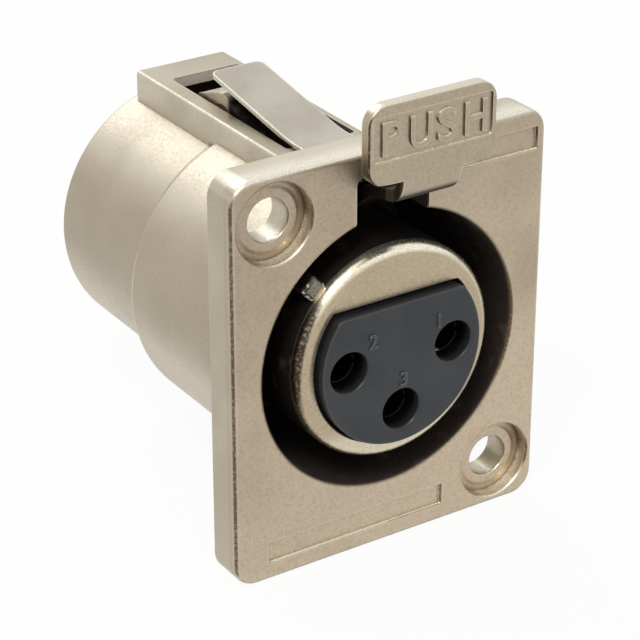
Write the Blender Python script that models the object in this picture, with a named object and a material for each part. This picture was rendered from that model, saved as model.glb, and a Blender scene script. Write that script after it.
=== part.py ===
"""Panel socket with three contacts: die-cast shell, inserts and a push latch.

Metres, +Z up. The origin is on the socket's axis, in the rear face of the
flange, which is the face that lies on the panel. +X is right seen from the
front, and +Y points into the equipment.
"""
from math import acos, atan2, cos, pi, radians, sin, sqrt, tan

import bmesh
import bpy
from mathutils import Matrix, Vector

# Flange
FLANGE_WIDTH = 0.0260
FLANGE_HEIGHT = 0.0310
FLANGE_THICK = 0.0030
FLANGE_CORNER_R = 0.00175
FLANGE_EDGE_R = 0.00045

# Fixing holes, on one diagonal: 19 mm by 24 mm apart, as is standard
HOLE_INSET = 0.0035
HOLE_R = 0.0016
COUNTERBORE_R = 0.00295
COUNTERBORE_DEPTH = 0.00105
COUNTERBORE_EDGE_R = 0.00025

# Plain recessed strips on the flange's face
STRIP_DEPTH = 0.00025
STRIP_HEIGHT = 0.00175
STRIP_EDGE_GAP = 0.00135
TOP_STRIP_LENGTH = 0.0076
BOTTOM_STRIP_LENGTH = 0.0150
BOTTOM_STRIP_SHIFT = 0.0028

# Front of the drum, with the bore that takes the plug
BORE_R = 0.0105
BORE_WALL = 0.0008
BORE_DEPTH = 0.0139
BORE_EDGE_R = 0.0006
FRONT_DRUM_LENGTH = 0.0142
SHOULDER_EDGE_R = 0.00035

# Rear of the drum, set a little higher than the front
REAR_DRUM_R = 0.01035
REAR_DRUM_RISE = 0.00045
DRUM_PAST_RING = 0.00275
REAR_DRUM_EDGE_R = 0.0005
REAR_BORE_R = 0.0089

# Web between the bore and the rear chamber
WEB_THICK = 0.0013

# Latch housing along the top
HOUSING_WIDTH = 0.0078
HOUSING_TOP = 0.01245
HOUSING_STEP = 0.0009
HOUSING_EDGE_R = 0.0003
HOUSING_SIDE_WALL = 0.0009
HOUSING_ROOF = 0.0004
HOUSING_REAR_WALL = 0.0015
HOUSING_FLOOR = 0.0010
SLOT_TOP = 0.0137
SLOT_CORNER_R = 0.0005
WINDOW_WIDTH = 0.0050
WINDOW_FRONT = 0.0065
WINDOW_REAR = 0.0226
WINDOW_CORNER_R = 0.0003

# Clip on the roof that holds the leaf spring's front end
CLIP_LENGTH = 0.0016
CLIP_WALL = 0.0007
CLIP_TOP_WALL = 0.0005
PIP_R = 0.0005
PIP_Y = 0.0033

# Front sleeve
SLEEVE_R = 0.0083
SLEEVE_PROUD = 0.0006
SLEEVE_RIM_R = 0.0010
SLEEVE_HOLE_R = 0.0067
SLEEVE_FLAT_Z = 0.00435
SLEEVE_HOLE_CORNER_R = 0.0009
SLEEVE_BASE_THICK = 0.00115
KEY_ANGLE = radians(135)
KEY_WIDTH = 0.0015
KEY_HEIGHT = 0.0012
KEY_START = 0.0003

# Inserts and contacts
INSERT_PROUD = 0.0014
INSERT_EDGE_R = 0.0008
INSERT_BASE_THICK = 0.0032
REAR_INSERT_THICK = 0.0056
CONTACT_HOLE_R = 0.0016
CONTACT_MOUTH_R = 0.00185
CONTACT_PLACES = ((0.0044, 0.0), (-0.0044, 0.0), (0.0, -0.0041))
CONTACT_R = 0.00145
CONTACT_PIN_R = 0.0012
CONTACT_PIN_DEPTH = 0.0120
CONTACT_RECESS = 0.0015
CONTACT_SPLIT = 0.00035
CONTACT_SPLIT_DEPTH = 0.0085
CONTACT_COLLAR_R = 0.00195
CONTACT_COLLAR_LENGTH = 0.0027
CONTACT_STEM_R = 0.00125
CUP_R = 0.00135
CUP_BORE_R = 0.00095
CUP_LENGTH = 0.0034
CUP_PAST_DRUM = 0.0016

# Ground terminal
GROUND_THICK = 0.0004
GROUND_WIDTH = 0.0022
GROUND_LUG_WIDTH = 0.0028
GROUND_Z = 0.0061
GROUND_FOOT = 0.0021
GROUND_PAST_DRUM = 0.0012
GROUND_EYE_R = 0.0007

# Retaining ring in its groove
RING_THICK = 0.0010
RING_BAND = 0.0018
GROOVE_DEPTH = 0.0005
RING_GAP_ANGLE = radians(50)
RING_LUG_R = 0.0010
RING_EYE_R = 0.00045

# Latch lever, bent from one strip
SHEET = 0.00085
TAB_STANDOFF = 0.0045
TAB_WIDTH = 0.0103
TAB_TOP = 0.02075
TAB_BOTTOM = 0.0151
TAB_TOP_CORNER_R = 0.0014
TAB_BOTTOM_CORNER_R = 0.0013
FIELD_WIDTH = 0.0096
FIELD_LOW = 0.01675
FIELD_HIGH = 0.01995
FIELD_DEPTH = 0.00015
NECK_WIDTH = 0.0047
NECK_RELIEF_R = 0.00045
ARM_WIDTH = 0.0044
TAIL_WIDTH = 0.0032
BEND_R = 0.0017
NECK_BEND_Z = 0.01365
ARM_DROP_Z = 0.01290
ARM_DROP_Y = -0.0033
ARM_INNER_Y = 0.0006
TAIL_START_Y = 0.0086
TAIL_CREST_Y = 0.0156
TAIL_END_Y = 0.0190
TAIL_END_DROP = 0.0012
HOOK_DEPTH = 0.00135
HOOK_FRONT = 0.0052
HOOK_REAR = 0.0073
EAR_THICK = 0.0007
EAR_R = 0.00085

# Pivot pin
PIN_R = 0.0004
PIN_Y = 0.0018
PIN_INSET = 0.0001

# Leaf spring
SPRING_THICK = 0.0004
SPRING_WIDTH = 0.0044
SPRING_START = 0.0002
SPRING_KINK = 0.0068
SPRING_END = 0.0175
SPRING_SLOPE = radians(9.3)
SPRING_CORNER_R = 0.0005

# Clearances
FIT = 0.00015
SEAT = 0.0002
RUNNING = 0.00006
SHEET_GAP = 0.00005
PLUG_R = 0.0095
PLUG_GAP = 0.00018

ROUND = 64
SMALL_ROUND = 24
THROUGH = 0.0010
EPS = 0.00002

# Places worked out from the sizes above
FACE_Y = -FLANGE_THICK
FRONT_DRUM_R = BORE_R + BORE_WALL
BORE_END = FACE_Y + BORE_DEPTH
WEB_REAR = BORE_END + WEB_THICK
SLEEVE_FRONT = FACE_Y - SLEEVE_PROUD
SLEEVE_BASE_FRONT = WEB_REAR + FIT
SLEEVE_END = SLEEVE_BASE_FRONT + SLEEVE_BASE_THICK
INSERT_R = REAR_BORE_R - SEAT
INSERT_FRONT = FACE_Y - INSERT_PROUD
INSERT_BASE_FRONT = SLEEVE_END + FIT
INSERT_BASE_REAR = INSERT_BASE_FRONT + INSERT_BASE_THICK
REAR_INSERT_FRONT = INSERT_BASE_REAR + SEAT
REAR_INSERT_REAR = REAR_INSERT_FRONT + REAR_INSERT_THICK
RING_FRONT = REAR_INSERT_REAR + SEAT
RING_REAR = RING_FRONT + RING_THICK
REAR_DRUM_END = RING_REAR + DRUM_PAST_RING
HOUSING_LENGTH = REAR_DRUM_END - HOUSING_STEP
COLLAR_MIDDLE = (INSERT_BASE_REAR + REAR_INSERT_FRONT) / 2
COLLAR_FRONT = COLLAR_MIDDLE - CONTACT_COLLAR_LENGTH / 2
COLLAR_REAR = COLLAR_MIDDLE + CONTACT_COLLAR_LENGTH / 2
CUP_END = REAR_DRUM_END + CUP_PAST_DRUM
CUP_START = CUP_END - CUP_LENGTH
ROOF_INSIDE = HOUSING_TOP - HOUSING_ROOF
FLOOR_Z = REAR_BORE_R + HOUSING_FLOOR
CHAMBER_HALF = HOUSING_WIDTH / 2 - HOUSING_SIDE_WALL
SPRING_BOTTOM = HOUSING_TOP + SHEET_GAP
SPRING_TOP = SPRING_BOTTOM + SPRING_THICK
CLIP_TOP = SPRING_TOP + 0.00025 + CLIP_TOP_WALL
ARM_INNER_Z = PLUG_R + PLUG_GAP + SHEET / 2
PIN_Z = ARM_INNER_Z + SHEET / 2 + PIN_R + 0.000075
TAB_MIDDLE_Y = FACE_Y - TAB_STANDOFF + SHEET / 2


def spring_underside(y):
    return SPRING_BOTTOM + max(0.0, y - SPRING_KINK) * tan(SPRING_SLOPE)


TAIL_CREST_Z = spring_underside(TAIL_CREST_Y) - 0.0003 - SHEET / 2


def circle(x, z, radius, count=ROUND):
    """Points of a circle in the X-Z plane."""
    steps = (2 * pi * i / count for i in range(count))
    return [(x + radius * cos(a), z + radius * sin(a)) for a in steps]


def arc(x, z, radius, start, end, count):
    steps = (start + (end - start) * i / count for i in range(count + 1))
    return [(x + radius * cos(a), z + radius * sin(a)) for a in steps]


def round_rect(left, right, low, high, radius, count=5):
    """Points of a rectangle with rounded corners."""
    corners = ((right - radius, high - radius, 0), (left + radius, high - radius, 1),
               (left + radius, low + radius, 2), (right - radius, low + radius, 3))
    points = []
    for x, z, quarter in corners:
        points += arc(x, z, radius, quarter * pi / 2, (quarter + 1) * pi / 2, count)
    return points


def d_shape(radius, flat, corner, count=40):
    """Points of a circle cut flat at the top, with the two corners rounded."""
    middle_z = flat - corner
    middle_x = sqrt((radius - corner) ** 2 - middle_z ** 2)
    meet = atan2(middle_z, middle_x)
    points = arc(middle_x, middle_z, corner, meet, pi / 2, 5)
    points += arc(-middle_x, middle_z, corner, pi / 2, pi - meet, 5)
    points += arc(0, 0, radius, pi - meet, 2 * pi + meet, count)[1:-1]
    return points


def rounded_edge(radius, start_y, edge, inward=1, count=4):
    """Radii and depths of an edge that is rounded at start_y."""
    angles = [pi / 2 * i / count for i in range(count + 1)]
    return [(radius - edge + edge * sin(a), start_y + inward * (edge - edge * cos(a)))
            for a in angles]


def eased_mouth(radius, start_y, edge, count=4):
    """Radii and depths of a cutter whose mouth at start_y has a rounded edge."""
    angles = [pi / 2 * i / count for i in range(count + 1)]
    profile = [(radius + edge, start_y - THROUGH)]
    profile += [(radius + edge - edge * sin(a), start_y + edge - edge * cos(a)) for a in angles]
    return profile


def finish_mesh(name, bm, material):
    bmesh.ops.recalc_face_normals(bm, faces=bm.faces)
    mesh = bpy.data.meshes.new(name)
    bm.to_mesh(mesh)
    bm.free()
    mesh.shade_smooth()
    mesh.set_sharp_from_angle(angle=radians(35))
    item = bpy.data.objects.new(name, mesh)
    bpy.context.scene.collection.objects.link(item)
    if material:
        mesh.materials.append(material)
    return item


def loft(name, sections, material=None):
    """A closed solid through sections, each a list of 3-D points."""
    bm = bmesh.new()
    rings = [[bm.verts.new(point) for point in section] for section in sections]
    for first, second in zip(rings, rings[1:]):
        for i in range(len(first)):
            j = (i + 1) % len(first)
            bm.faces.new((first[i], first[j], second[j], second[i]))
    bm.faces.new(rings[0])
    bm.faces.new(rings[-1])
    return finish_mesh(name, bm, material)


def along_y(points, y):
    return [(x, y, z) for x, z in points]


def along_x(points, x):
    return [(x, y, z) for y, z in points]


def along_z(points, z):
    return [(x, y, z) for x, y in points]


def turned(name, profile, x=0.0, z=0.0, count=ROUND, material=None):
    """A turned solid about an axis along Y; profile is (radius, y) pairs."""
    sections = [along_y(circle(x, z, radius, count), y) for radius, y in profile]
    return loft(name, sections, material)


def boolean(target, tool, operation="DIFFERENCE"):
    modifier = target.modifiers.new(tool.name, "BOOLEAN")
    modifier.operation = operation
    modifier.solver = "EXACT"
    modifier.object = tool
    tool.hide_render = True
    tool.display_type = "WIRE"


def join(target, tool):
    boolean(target, tool, "UNION")


def make_material(name, colour, roughness, metallic):
    material = bpy.data.materials.new(name)
    material.use_nodes = True
    shader = material.node_tree.nodes["Principled BSDF"]
    shader.inputs["Base Color"].default_value = (*colour, 1.0)
    shader.inputs["Roughness"].default_value = roughness
    shader.inputs["Metallic"].default_value = metallic
    material.diffuse_color = (*colour, 1.0)
    return material


def make_flange(material):
    """Rounded plate whose front edges are eased."""
    def outline(inset):
        half_x = FLANGE_WIDTH / 2 - inset
        half_z = FLANGE_HEIGHT / 2 - inset
        return round_rect(-half_x, half_x, -half_z, half_z, FLANGE_CORNER_R - inset, 6)

    edge = [(FLANGE_EDGE_R - FLANGE_EDGE_R * sin(pi / 8 * i),
             FACE_Y + FLANGE_EDGE_R - FLANGE_EDGE_R * cos(pi / 8 * i)) for i in range(5)]
    sections = [along_y(outline(inset), y) for inset, y in edge]
    sections.append(along_y(outline(0), 0))
    return loft("shell", sections, material)


def make_drum():
    """The two sections of the drum, each closed, for joining to the flange."""
    inside_flange = -FLANGE_THICK / 2
    front = [(FRONT_DRUM_R, inside_flange)]
    shoulder = rounded_edge(FRONT_DRUM_R, FRONT_DRUM_LENGTH, SHOULDER_EDGE_R, -1)
    front += shoulder[::-1]
    rear = [(REAR_DRUM_R, FRONT_DRUM_LENGTH - THROUGH)]
    rear += rounded_edge(REAR_DRUM_R, REAR_DRUM_END, REAR_DRUM_EDGE_R, -1)[::-1]
    return turned("front_drum", front), turned("rear_drum", rear, z=REAR_DRUM_RISE)


def make_housing():
    """Latch housing: a block with eased top edges and rear end."""
    half = HOUSING_WIDTH / 2
    low = BORE_R / 2

    def outline(inset):
        return round_rect(-half + inset, half - inset, low, HOUSING_TOP - inset, HOUSING_EDGE_R, 4)

    end = [(HOUSING_EDGE_R - HOUSING_EDGE_R * cos(pi / 6 * i),
            HOUSING_LENGTH - HOUSING_EDGE_R + HOUSING_EDGE_R * sin(pi / 6 * i))
           for i in range(4)]
    sections = [along_y(outline(0), -FLANGE_THICK / 2 + EPS * 10)]
    sections += [along_y(outline(inset), y) for inset, y in end]
    return loft("latch_housing", sections)


def make_spring_clip():
    """Low bridge on the roof, behind the flange."""
    half = SPRING_WIDTH / 2 + SEAT + CLIP_WALL
    section = round_rect(-half, half, ROOF_INSIDE + EPS, CLIP_TOP, HOUSING_EDGE_R, 3)
    return loft("spring_clip", [along_y(section, -FLANGE_THICK / 4), along_y(section, CLIP_LENGTH)])


def make_latch_slot():
    """Sloping slot through the flange that opens into the bore and housing."""
    low = PLUG_R - THROUGH
    rise = (SLOT_TOP - ROOF_INSIDE) / FLANGE_THICK
    places = ((FACE_Y - THROUGH, SLOT_TOP + THROUGH * rise), (0, ROOF_INSIDE),
              (BORE_END - EPS * 5, ROOF_INSIDE))
    sections = [along_y(round_rect(-CHAMBER_HALF, CHAMBER_HALF, low, top, SLOT_CORNER_R, 4), y)
                for y, top in places]
    return loft("latch_slot", sections)


def box(name, left, right, front, rear, low, high):
    corners = ((left, low), (right, low), (right, high), (left, high))
    return loft(name, [along_y(corners, front), along_y(corners, rear)])


def make_shell(material):
    """One casting: flange, drum, latch housing and all their openings."""
    shell = make_flange(material)
    front_drum, rear_drum = make_drum()
    join(shell, front_drum)
    join(shell, rear_drum)
    join(shell, make_housing())
    join(shell, make_spring_clip())

    bore = eased_mouth(BORE_R, FACE_Y, BORE_EDGE_R)
    bore.append((BORE_R, BORE_END))
    boolean(shell, turned("plug_bore", bore))
    boolean(shell, make_latch_slot())

    web_hole = SLEEVE_R + FIT
    boolean(shell, turned("web_hole", [(web_hole, BORE_END - THROUGH),
                                       (web_hole, WEB_REAR + THROUGH)]))
    rear_bore = [(REAR_BORE_R, WEB_REAR), (REAR_BORE_R, REAR_DRUM_END + THROUGH)]
    boolean(shell, turned("rear_bore", rear_bore))
    groove_r = REAR_BORE_R + GROOVE_DEPTH
    groove = [(groove_r, RING_FRONT - RUNNING), (groove_r, RING_REAR + RUNNING)]
    boolean(shell, turned("ring_groove", groove))

    chamber = round_rect(-CHAMBER_HALF, CHAMBER_HALF, FLOOR_Z, ROOF_INSIDE, SLOT_CORNER_R, 4)
    chamber_end = HOUSING_LENGTH - HOUSING_REAR_WALL
    boolean(shell, loft("latch_chamber", [along_y(chamber, BORE_END - THROUGH),
                                          along_y(chamber, chamber_end)]))
    half_window = WINDOW_WIDTH / 2
    window = round_rect(-half_window, half_window, WINDOW_FRONT, WINDOW_REAR, WINDOW_CORNER_R, 3)
    boolean(shell, loft("roof_window", [along_z(window, ROOF_INSIDE - THROUGH / 2),
                                        along_z(window, HOUSING_TOP + THROUGH / 2)]))

    half_pocket = SPRING_WIDTH / 2 + SEAT
    boolean(shell, box("spring_pocket", -half_pocket, half_pocket, -FIT, CLIP_LENGTH + THROUGH,
                       HOUSING_TOP + EPS, CLIP_TOP - CLIP_TOP_WALL))
    pip = circle(0, PIP_Y, PIP_R, SMALL_ROUND)
    join(shell, loft("spring_pip", [along_z(pip, ROOF_INSIDE + EPS),
                                    along_z(pip, SPRING_TOP + FIT)]))

    hole = circle(PIN_Y, PIN_Z, PIN_R + RUNNING / 2, SMALL_ROUND)
    boolean(shell, loft("pin_hole", [along_x(hole, -HOUSING_WIDTH), along_x(hole, HOUSING_WIDTH)]))

    for side, place in (("left", -1), ("right", 1)):
        x = place * (FLANGE_WIDTH / 2 - HOLE_INSET)
        z = -place * (FLANGE_HEIGHT / 2 - HOLE_INSET)
        profile = eased_mouth(COUNTERBORE_R, FACE_Y, COUNTERBORE_EDGE_R)
        profile.append((COUNTERBORE_R, FACE_Y + COUNTERBORE_DEPTH))
        boolean(shell, turned(side + "_counterbore", profile, x, z, 40))
        boolean(shell, turned(side + "_fixing_hole", [(HOLE_R, FACE_Y - THROUGH), (HOLE_R, THROUGH)],
                              x, z, 32))

    strip_high = FLANGE_HEIGHT / 2 - STRIP_EDGE_GAP
    strip_right = FLANGE_WIDTH / 2 - STRIP_EDGE_GAP / 2
    boolean(shell, box("top_strip", strip_right - TOP_STRIP_LENGTH, strip_right, FACE_Y - THROUGH,
                       FACE_Y + STRIP_DEPTH, strip_high - STRIP_HEIGHT, strip_high))
    half_strip = BOTTOM_STRIP_LENGTH / 2
    boolean(shell, box("bottom_strip", -half_strip - BOTTOM_STRIP_SHIFT,
                       half_strip - BOTTOM_STRIP_SHIFT, FACE_Y - THROUGH, FACE_Y + STRIP_DEPTH,
                       -strip_high, STRIP_HEIGHT - strip_high))
    return shell


def make_sleeve(material):
    """Sleeve round the insert: rounded rim, D-shaped hole, key and base flange."""
    profile = rounded_edge(SLEEVE_R, SLEEVE_FRONT, SLEEVE_RIM_R, 1, 6)
    base_r = INSERT_R
    profile += [(SLEEVE_R, SLEEVE_BASE_FRONT), (base_r, SLEEVE_BASE_FRONT), (base_r, SLEEVE_END)]
    sleeve = turned("front_sleeve", profile, material=material)

    nose = FACE_Y + KEY_START
    key_r = SLEEVE_R + KEY_HEIGHT
    half = KEY_WIDTH / 2
    outline = round_rect(-half, half, SLEEVE_R - KEY_HEIGHT / 2, key_r, half * 0.6, 4)
    tip = round_rect(-half * 0.6, half * 0.6, SLEEVE_R - KEY_HEIGHT / 2, key_r - half * 0.6,
                     half * 0.4, 4)
    turn = Matrix.Rotation(pi / 2 - KEY_ANGLE, 4, "Y")
    sections = ((tip, nose), (outline, nose + half * 0.8), (outline, BORE_END - SEAT))
    key = loft("polarising_key", [[turn @ Vector(point) for point in along_y(points, y)]
                                  for points, y in sections])
    join(sleeve, key)
    hole = d_shape(SLEEVE_HOLE_R, SLEEVE_FLAT_Z, SLEEVE_HOLE_CORNER_R)
    boolean(sleeve, loft("sleeve_hole", [along_y(hole, SLEEVE_FRONT - THROUGH),
                                         along_y(hole, SLEEVE_END + THROUGH)]))
    return sleeve


def cut_ground_slot(target, name, front, rear):
    half = GROUND_WIDTH / 2 + FIT
    boolean(target, box(name, -half, half, front, rear, GROUND_Z - FIT,
                        GROUND_Z + GROUND_THICK + FIT))


def make_front_insert(material):
    """Moulding with a D-shaped nose, three entries and a round base."""
    edge = INSERT_EDGE_R
    sections = []
    for i in range(6):
        inset = edge - edge * sin(pi / 10 * i)
        y = INSERT_FRONT + edge - edge * cos(pi / 10 * i)
        sections.append(along_y(d_shape(SLEEVE_HOLE_R - SEAT - inset, SLEEVE_FLAT_Z - SEAT - inset,
                                        SLEEVE_HOLE_CORNER_R), y))
    nose = d_shape(SLEEVE_HOLE_R - SEAT, SLEEVE_FLAT_Z - SEAT, SLEEVE_HOLE_CORNER_R)
    sections.append(along_y(nose, INSERT_BASE_FRONT + INSERT_BASE_THICK / 2))
    insert = loft("insert_front", sections, material)
    join(insert, turned("insert_base", [(INSERT_R, INSERT_BASE_FRONT),
                                        (INSERT_R, INSERT_BASE_REAR)]))
    flare = CONTACT_MOUTH_R - CONTACT_HOLE_R
    seat = CONTACT_COLLAR_R + FIT
    profile = [(CONTACT_MOUTH_R + THROUGH, INSERT_FRONT - THROUGH),
               (CONTACT_HOLE_R, INSERT_FRONT + flare), (CONTACT_HOLE_R, COLLAR_FRONT - FIT),
               (seat, COLLAR_FRONT - FIT), (seat, INSERT_BASE_REAR + THROUGH)]
    for number, (x, z) in enumerate(CONTACT_PLACES, 1):
        boolean(insert, turned(f"entry_{number}", profile, x, z, 32))
    cut_ground_slot(insert, "front_ground_slot", INSERT_BASE_FRONT - THROUGH,
                    INSERT_BASE_REAR + THROUGH)
    half = GROUND_WIDTH / 2 + FIT
    boolean(insert, box("ground_foot_pocket", -half, half, INSERT_BASE_FRONT - THROUGH,
                        INSERT_BASE_FRONT + FIT + GROUND_THICK + FIT, GROUND_Z - FIT,
                        GROUND_Z + GROUND_FOOT + FIT))
    return insert


def make_rear_insert(material):
    """Disc that clamps the contacts' collars against the front insert."""
    profile = [(INSERT_R, REAR_INSERT_FRONT)]
    profile += rounded_edge(INSERT_R, REAR_INSERT_REAR, FIT * 2, -1, 2)[::-1]
    insert = turned("insert_rear", profile, material=material)
    seat = CONTACT_COLLAR_R + FIT
    stem = CONTACT_STEM_R + FIT
    profile = [(seat, REAR_INSERT_FRONT - THROUGH), (seat, COLLAR_REAR + FIT),
               (stem, COLLAR_REAR + FIT), (stem, REAR_INSERT_REAR + THROUGH)]
    for number, (x, z) in enumerate(CONTACT_PLACES, 1):
        boolean(insert, turned(f"stem_hole_{number}", profile, x, z, 32))
    cut_ground_slot(insert, "rear_ground_slot", REAR_INSERT_FRONT - THROUGH,
                    REAR_INSERT_REAR + THROUGH)
    return insert


def make_contact(number, x, z, material):
    """Turned contact: split socket, collar, stem and solder cup."""
    front = INSERT_FRONT + CONTACT_RECESS
    chamfer = FIT
    profile = [(CONTACT_R - chamfer, front), (CONTACT_R, front + chamfer),
               (CONTACT_R, COLLAR_FRONT), (CONTACT_COLLAR_R, COLLAR_FRONT),
               (CONTACT_COLLAR_R, COLLAR_REAR), (CONTACT_STEM_R, COLLAR_REAR),
               (CONTACT_STEM_R, CUP_START), (CUP_R, CUP_START), (CUP_R, CUP_END)]
    contact = turned(f"contact_{number}", profile, x, z, SMALL_ROUND, material)
    socket = [(CONTACT_PIN_R, front - THROUGH), (CONTACT_PIN_R, front + CONTACT_PIN_DEPTH)]
    boolean(contact, turned(f"socket_{number}", socket, x, z, SMALL_ROUND))
    half = CONTACT_SPLIT / 2
    boolean(contact, box(f"split_{number}", x - CONTACT_R * 2, x + CONTACT_R * 2, front - THROUGH,
                         front + CONTACT_SPLIT_DEPTH, z - half, z + half))
    floor = CUP_START + CUP_R - CUP_BORE_R
    boolean(contact, turned(f"cup_{number}", [(CUP_BORE_R, floor), (CUP_BORE_R, CUP_END + THROUGH)],
                            x, z, SMALL_ROUND))
    boolean(contact, box(f"cup_side_{number}", x - CUP_R * 2, x + CUP_R * 2, floor + CUP_BORE_R / 2,
                         CUP_END + THROUGH, z + CUP_BORE_R / 4, z + CUP_R * 2))
    return contact


def make_ground_terminal(material):
    """Strip from the sleeve's base to a solder lug with an eye."""
    low = GROUND_Z
    high = GROUND_Z + GROUND_THICK
    front = INSERT_BASE_FRONT + FIT
    lug_start = REAR_INSERT_REAR + FIT * 3
    end = REAR_DRUM_END + GROUND_PAST_DRUM
    half = GROUND_WIDTH / 2
    half_lug = GROUND_LUG_WIDTH / 2
    outline = [(half, front), (half, lug_start), (half_lug, lug_start + (half_lug - half))]
    outline += arc(0, end - half_lug, half_lug, 0, pi, 10)
    outline += [(-half_lug, lug_start + (half_lug - half)), (-half, lug_start), (-half, front)]
    terminal = loft("ground_terminal", [along_z(outline, low), along_z(outline, high)], material)
    join(terminal, box("ground_foot", -half + EPS, half - EPS, front + EPS, front + GROUND_THICK,
                       low + EPS, low + GROUND_FOOT))
    eye = circle(0, end - half_lug, GROUND_EYE_R, SMALL_ROUND)
    boolean(terminal, loft("ground_eye", [along_z(eye, low - THROUGH), along_z(eye, high + THROUGH)]))
    return terminal


def make_retaining_ring(material):
    """Split ring with two eyes, sprung into the groove."""
    outer = REAR_BORE_R + GROOVE_DEPTH - FIT
    inner = outer - RING_BAND
    start = -pi / 2 + RING_GAP_ANGLE / 2
    end = 3 * pi / 2 - RING_GAP_ANGLE / 2
    outline = arc(0, 0, outer, start, end, 56) + arc(0, 0, inner, end, start, 56)
    ring = loft("retaining_ring", [along_y(outline, RING_FRONT), along_y(outline, RING_REAR)],
                material)
    place = inner + RING_LUG_R / 4
    eyes = []
    for side, angle in (("left", end), ("right", start)):
        turn = RING_LUG_R / place * (1 if side == "right" else -1)
        x = place * cos(angle + turn)
        z = place * sin(angle + turn)
        lug = [(RING_LUG_R, RING_FRONT + EPS), (RING_LUG_R, RING_REAR - EPS)]
        join(ring, turned(f"{side}_ring_lug", lug, x, z, SMALL_ROUND))
        eyes.append((f"{side}_ring_eye", x, z))
    for name, x, z in eyes:
        boolean(ring, turned(name, [(RING_EYE_R, RING_FRONT - THROUGH),
                                    (RING_EYE_R, RING_REAR + THROUGH)], x, z, 16))
    return ring


class Fold:
    """The bent centre line of a strip, walked by its flat length."""

    def __init__(self, corners, radius):
        self.parts = []
        self.length = 0.0
        points = [Vector(corner) for corner in corners]
        place = points[0]
        for before, corner, after in zip(points, points[1:], points[2:]):
            heading = (corner - before).normalized()
            leaving = (after - corner).normalized()
            turn = acos(max(-1.0, min(1.0, heading.dot(leaving))))
            cut = radius * tan(turn / 2)
            self.add_line(place, heading, (corner - heading * cut - place).length)
            side = 1 if heading.x * leaving.y - heading.y * leaving.x > 0 else -1
            self.add_bend(corner - heading * cut, heading, side, radius, turn)
            place = corner + leaving * cut
        heading = (points[-1] - points[-2]).normalized()
        self.add_line(place, heading, (points[-1] - place).length)

    def add_line(self, place, heading, length):
        self.parts.append((self.length, length, place, heading, 0, 0.0))
        self.length += length

    def add_bend(self, place, heading, side, radius, turn):
        self.parts.append((self.length, radius * turn, place, heading, side, radius))
        self.length += radius * turn

    def stations(self, steps=5):
        """Flat lengths at which the strip needs an edge across it."""
        found = []
        for start, length, _place, _heading, side, _radius in self.parts:
            if side:
                found += [start + length * i / steps for i in range(steps + 1)]
        return found

    def at(self, flat):
        """Place and normal at a flat length."""
        part = self.parts[0]
        for candidate in self.parts:
            if candidate[0] <= flat + 1e-9:
                part = candidate
        start, _length, place, heading, side, radius = part
        normal = Vector((-heading.y, heading.x))
        if not side:
            return place + heading * (flat - start), normal
        angle = (flat - start) / radius
        centre = place + normal * side * radius
        turn = Matrix.Rotation(side * angle, 2)
        return centre + turn @ (place - centre), turn @ normal


def bend_strip(name, outline, thickness, fold, material):
    """Extrude a flat outline (x, flat length) and bend it along the fold."""
    bm = bmesh.new()
    face = bm.faces.new([bm.verts.new((x, flat, 0)) for x, flat in outline])
    grown = bmesh.ops.extrude_face_region(bm, geom=[face])
    moved = [item for item in grown["geom"] if isinstance(item, bmesh.types.BMVert)]
    bmesh.ops.translate(bm, verts=moved, vec=(0, 0, thickness))
    for flat in fold.stations():
        bmesh.ops.bisect_plane(bm, geom=bm.verts[:] + bm.edges[:] + bm.faces[:], dist=1e-7,
                               plane_co=(0, flat, 0), plane_no=(0, 1, 0))
    for vert in bm.verts:
        place, normal = fold.at(vert.co.y)
        spot = place + normal * (vert.co.z - thickness / 2)
        vert.co = (vert.co.x, spot.x, spot.y)
    return finish_mesh(name, bm, material)


def lever_outline(fold):
    """Flat blank of the lever: tab, neck, arm and narrower tail."""
    half_tab = TAB_WIDTH / 2
    half_neck = NECK_WIDTH / 2
    half_arm = ARM_WIDTH / 2
    half_tail = TAIL_WIDTH / 2
    drop = TAB_TOP - TAB_BOTTOM
    bends = fold.stations()
    inner_bend = bends[2 * 6 + 5]
    tail_bend = bends[3 * 6]
    relief = NECK_RELIEF_R
    right = arc(half_tab - TAB_TOP_CORNER_R, TAB_TOP_CORNER_R, TAB_TOP_CORNER_R, -pi / 2, 0, 6)
    right += arc(half_tab - TAB_BOTTOM_CORNER_R, drop - TAB_BOTTOM_CORNER_R, TAB_BOTTOM_CORNER_R,
                 0, pi / 2, 6)
    right += arc(half_neck + relief, drop + relief, relief, 3 * pi / 2, pi, 4)
    right += [(half_neck, bends[5]), (half_arm, bends[6]), (half_arm, inner_bend),
              (half_arm, tail_bend - SHEET * 2), (half_tail, tail_bend)]
    right += arc(half_tail - SHEET / 2, fold.length - SHEET / 2, SHEET / 2, 0, pi / 2, 4)
    return right + [(-x, flat) for x, flat in reversed(right)]


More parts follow.
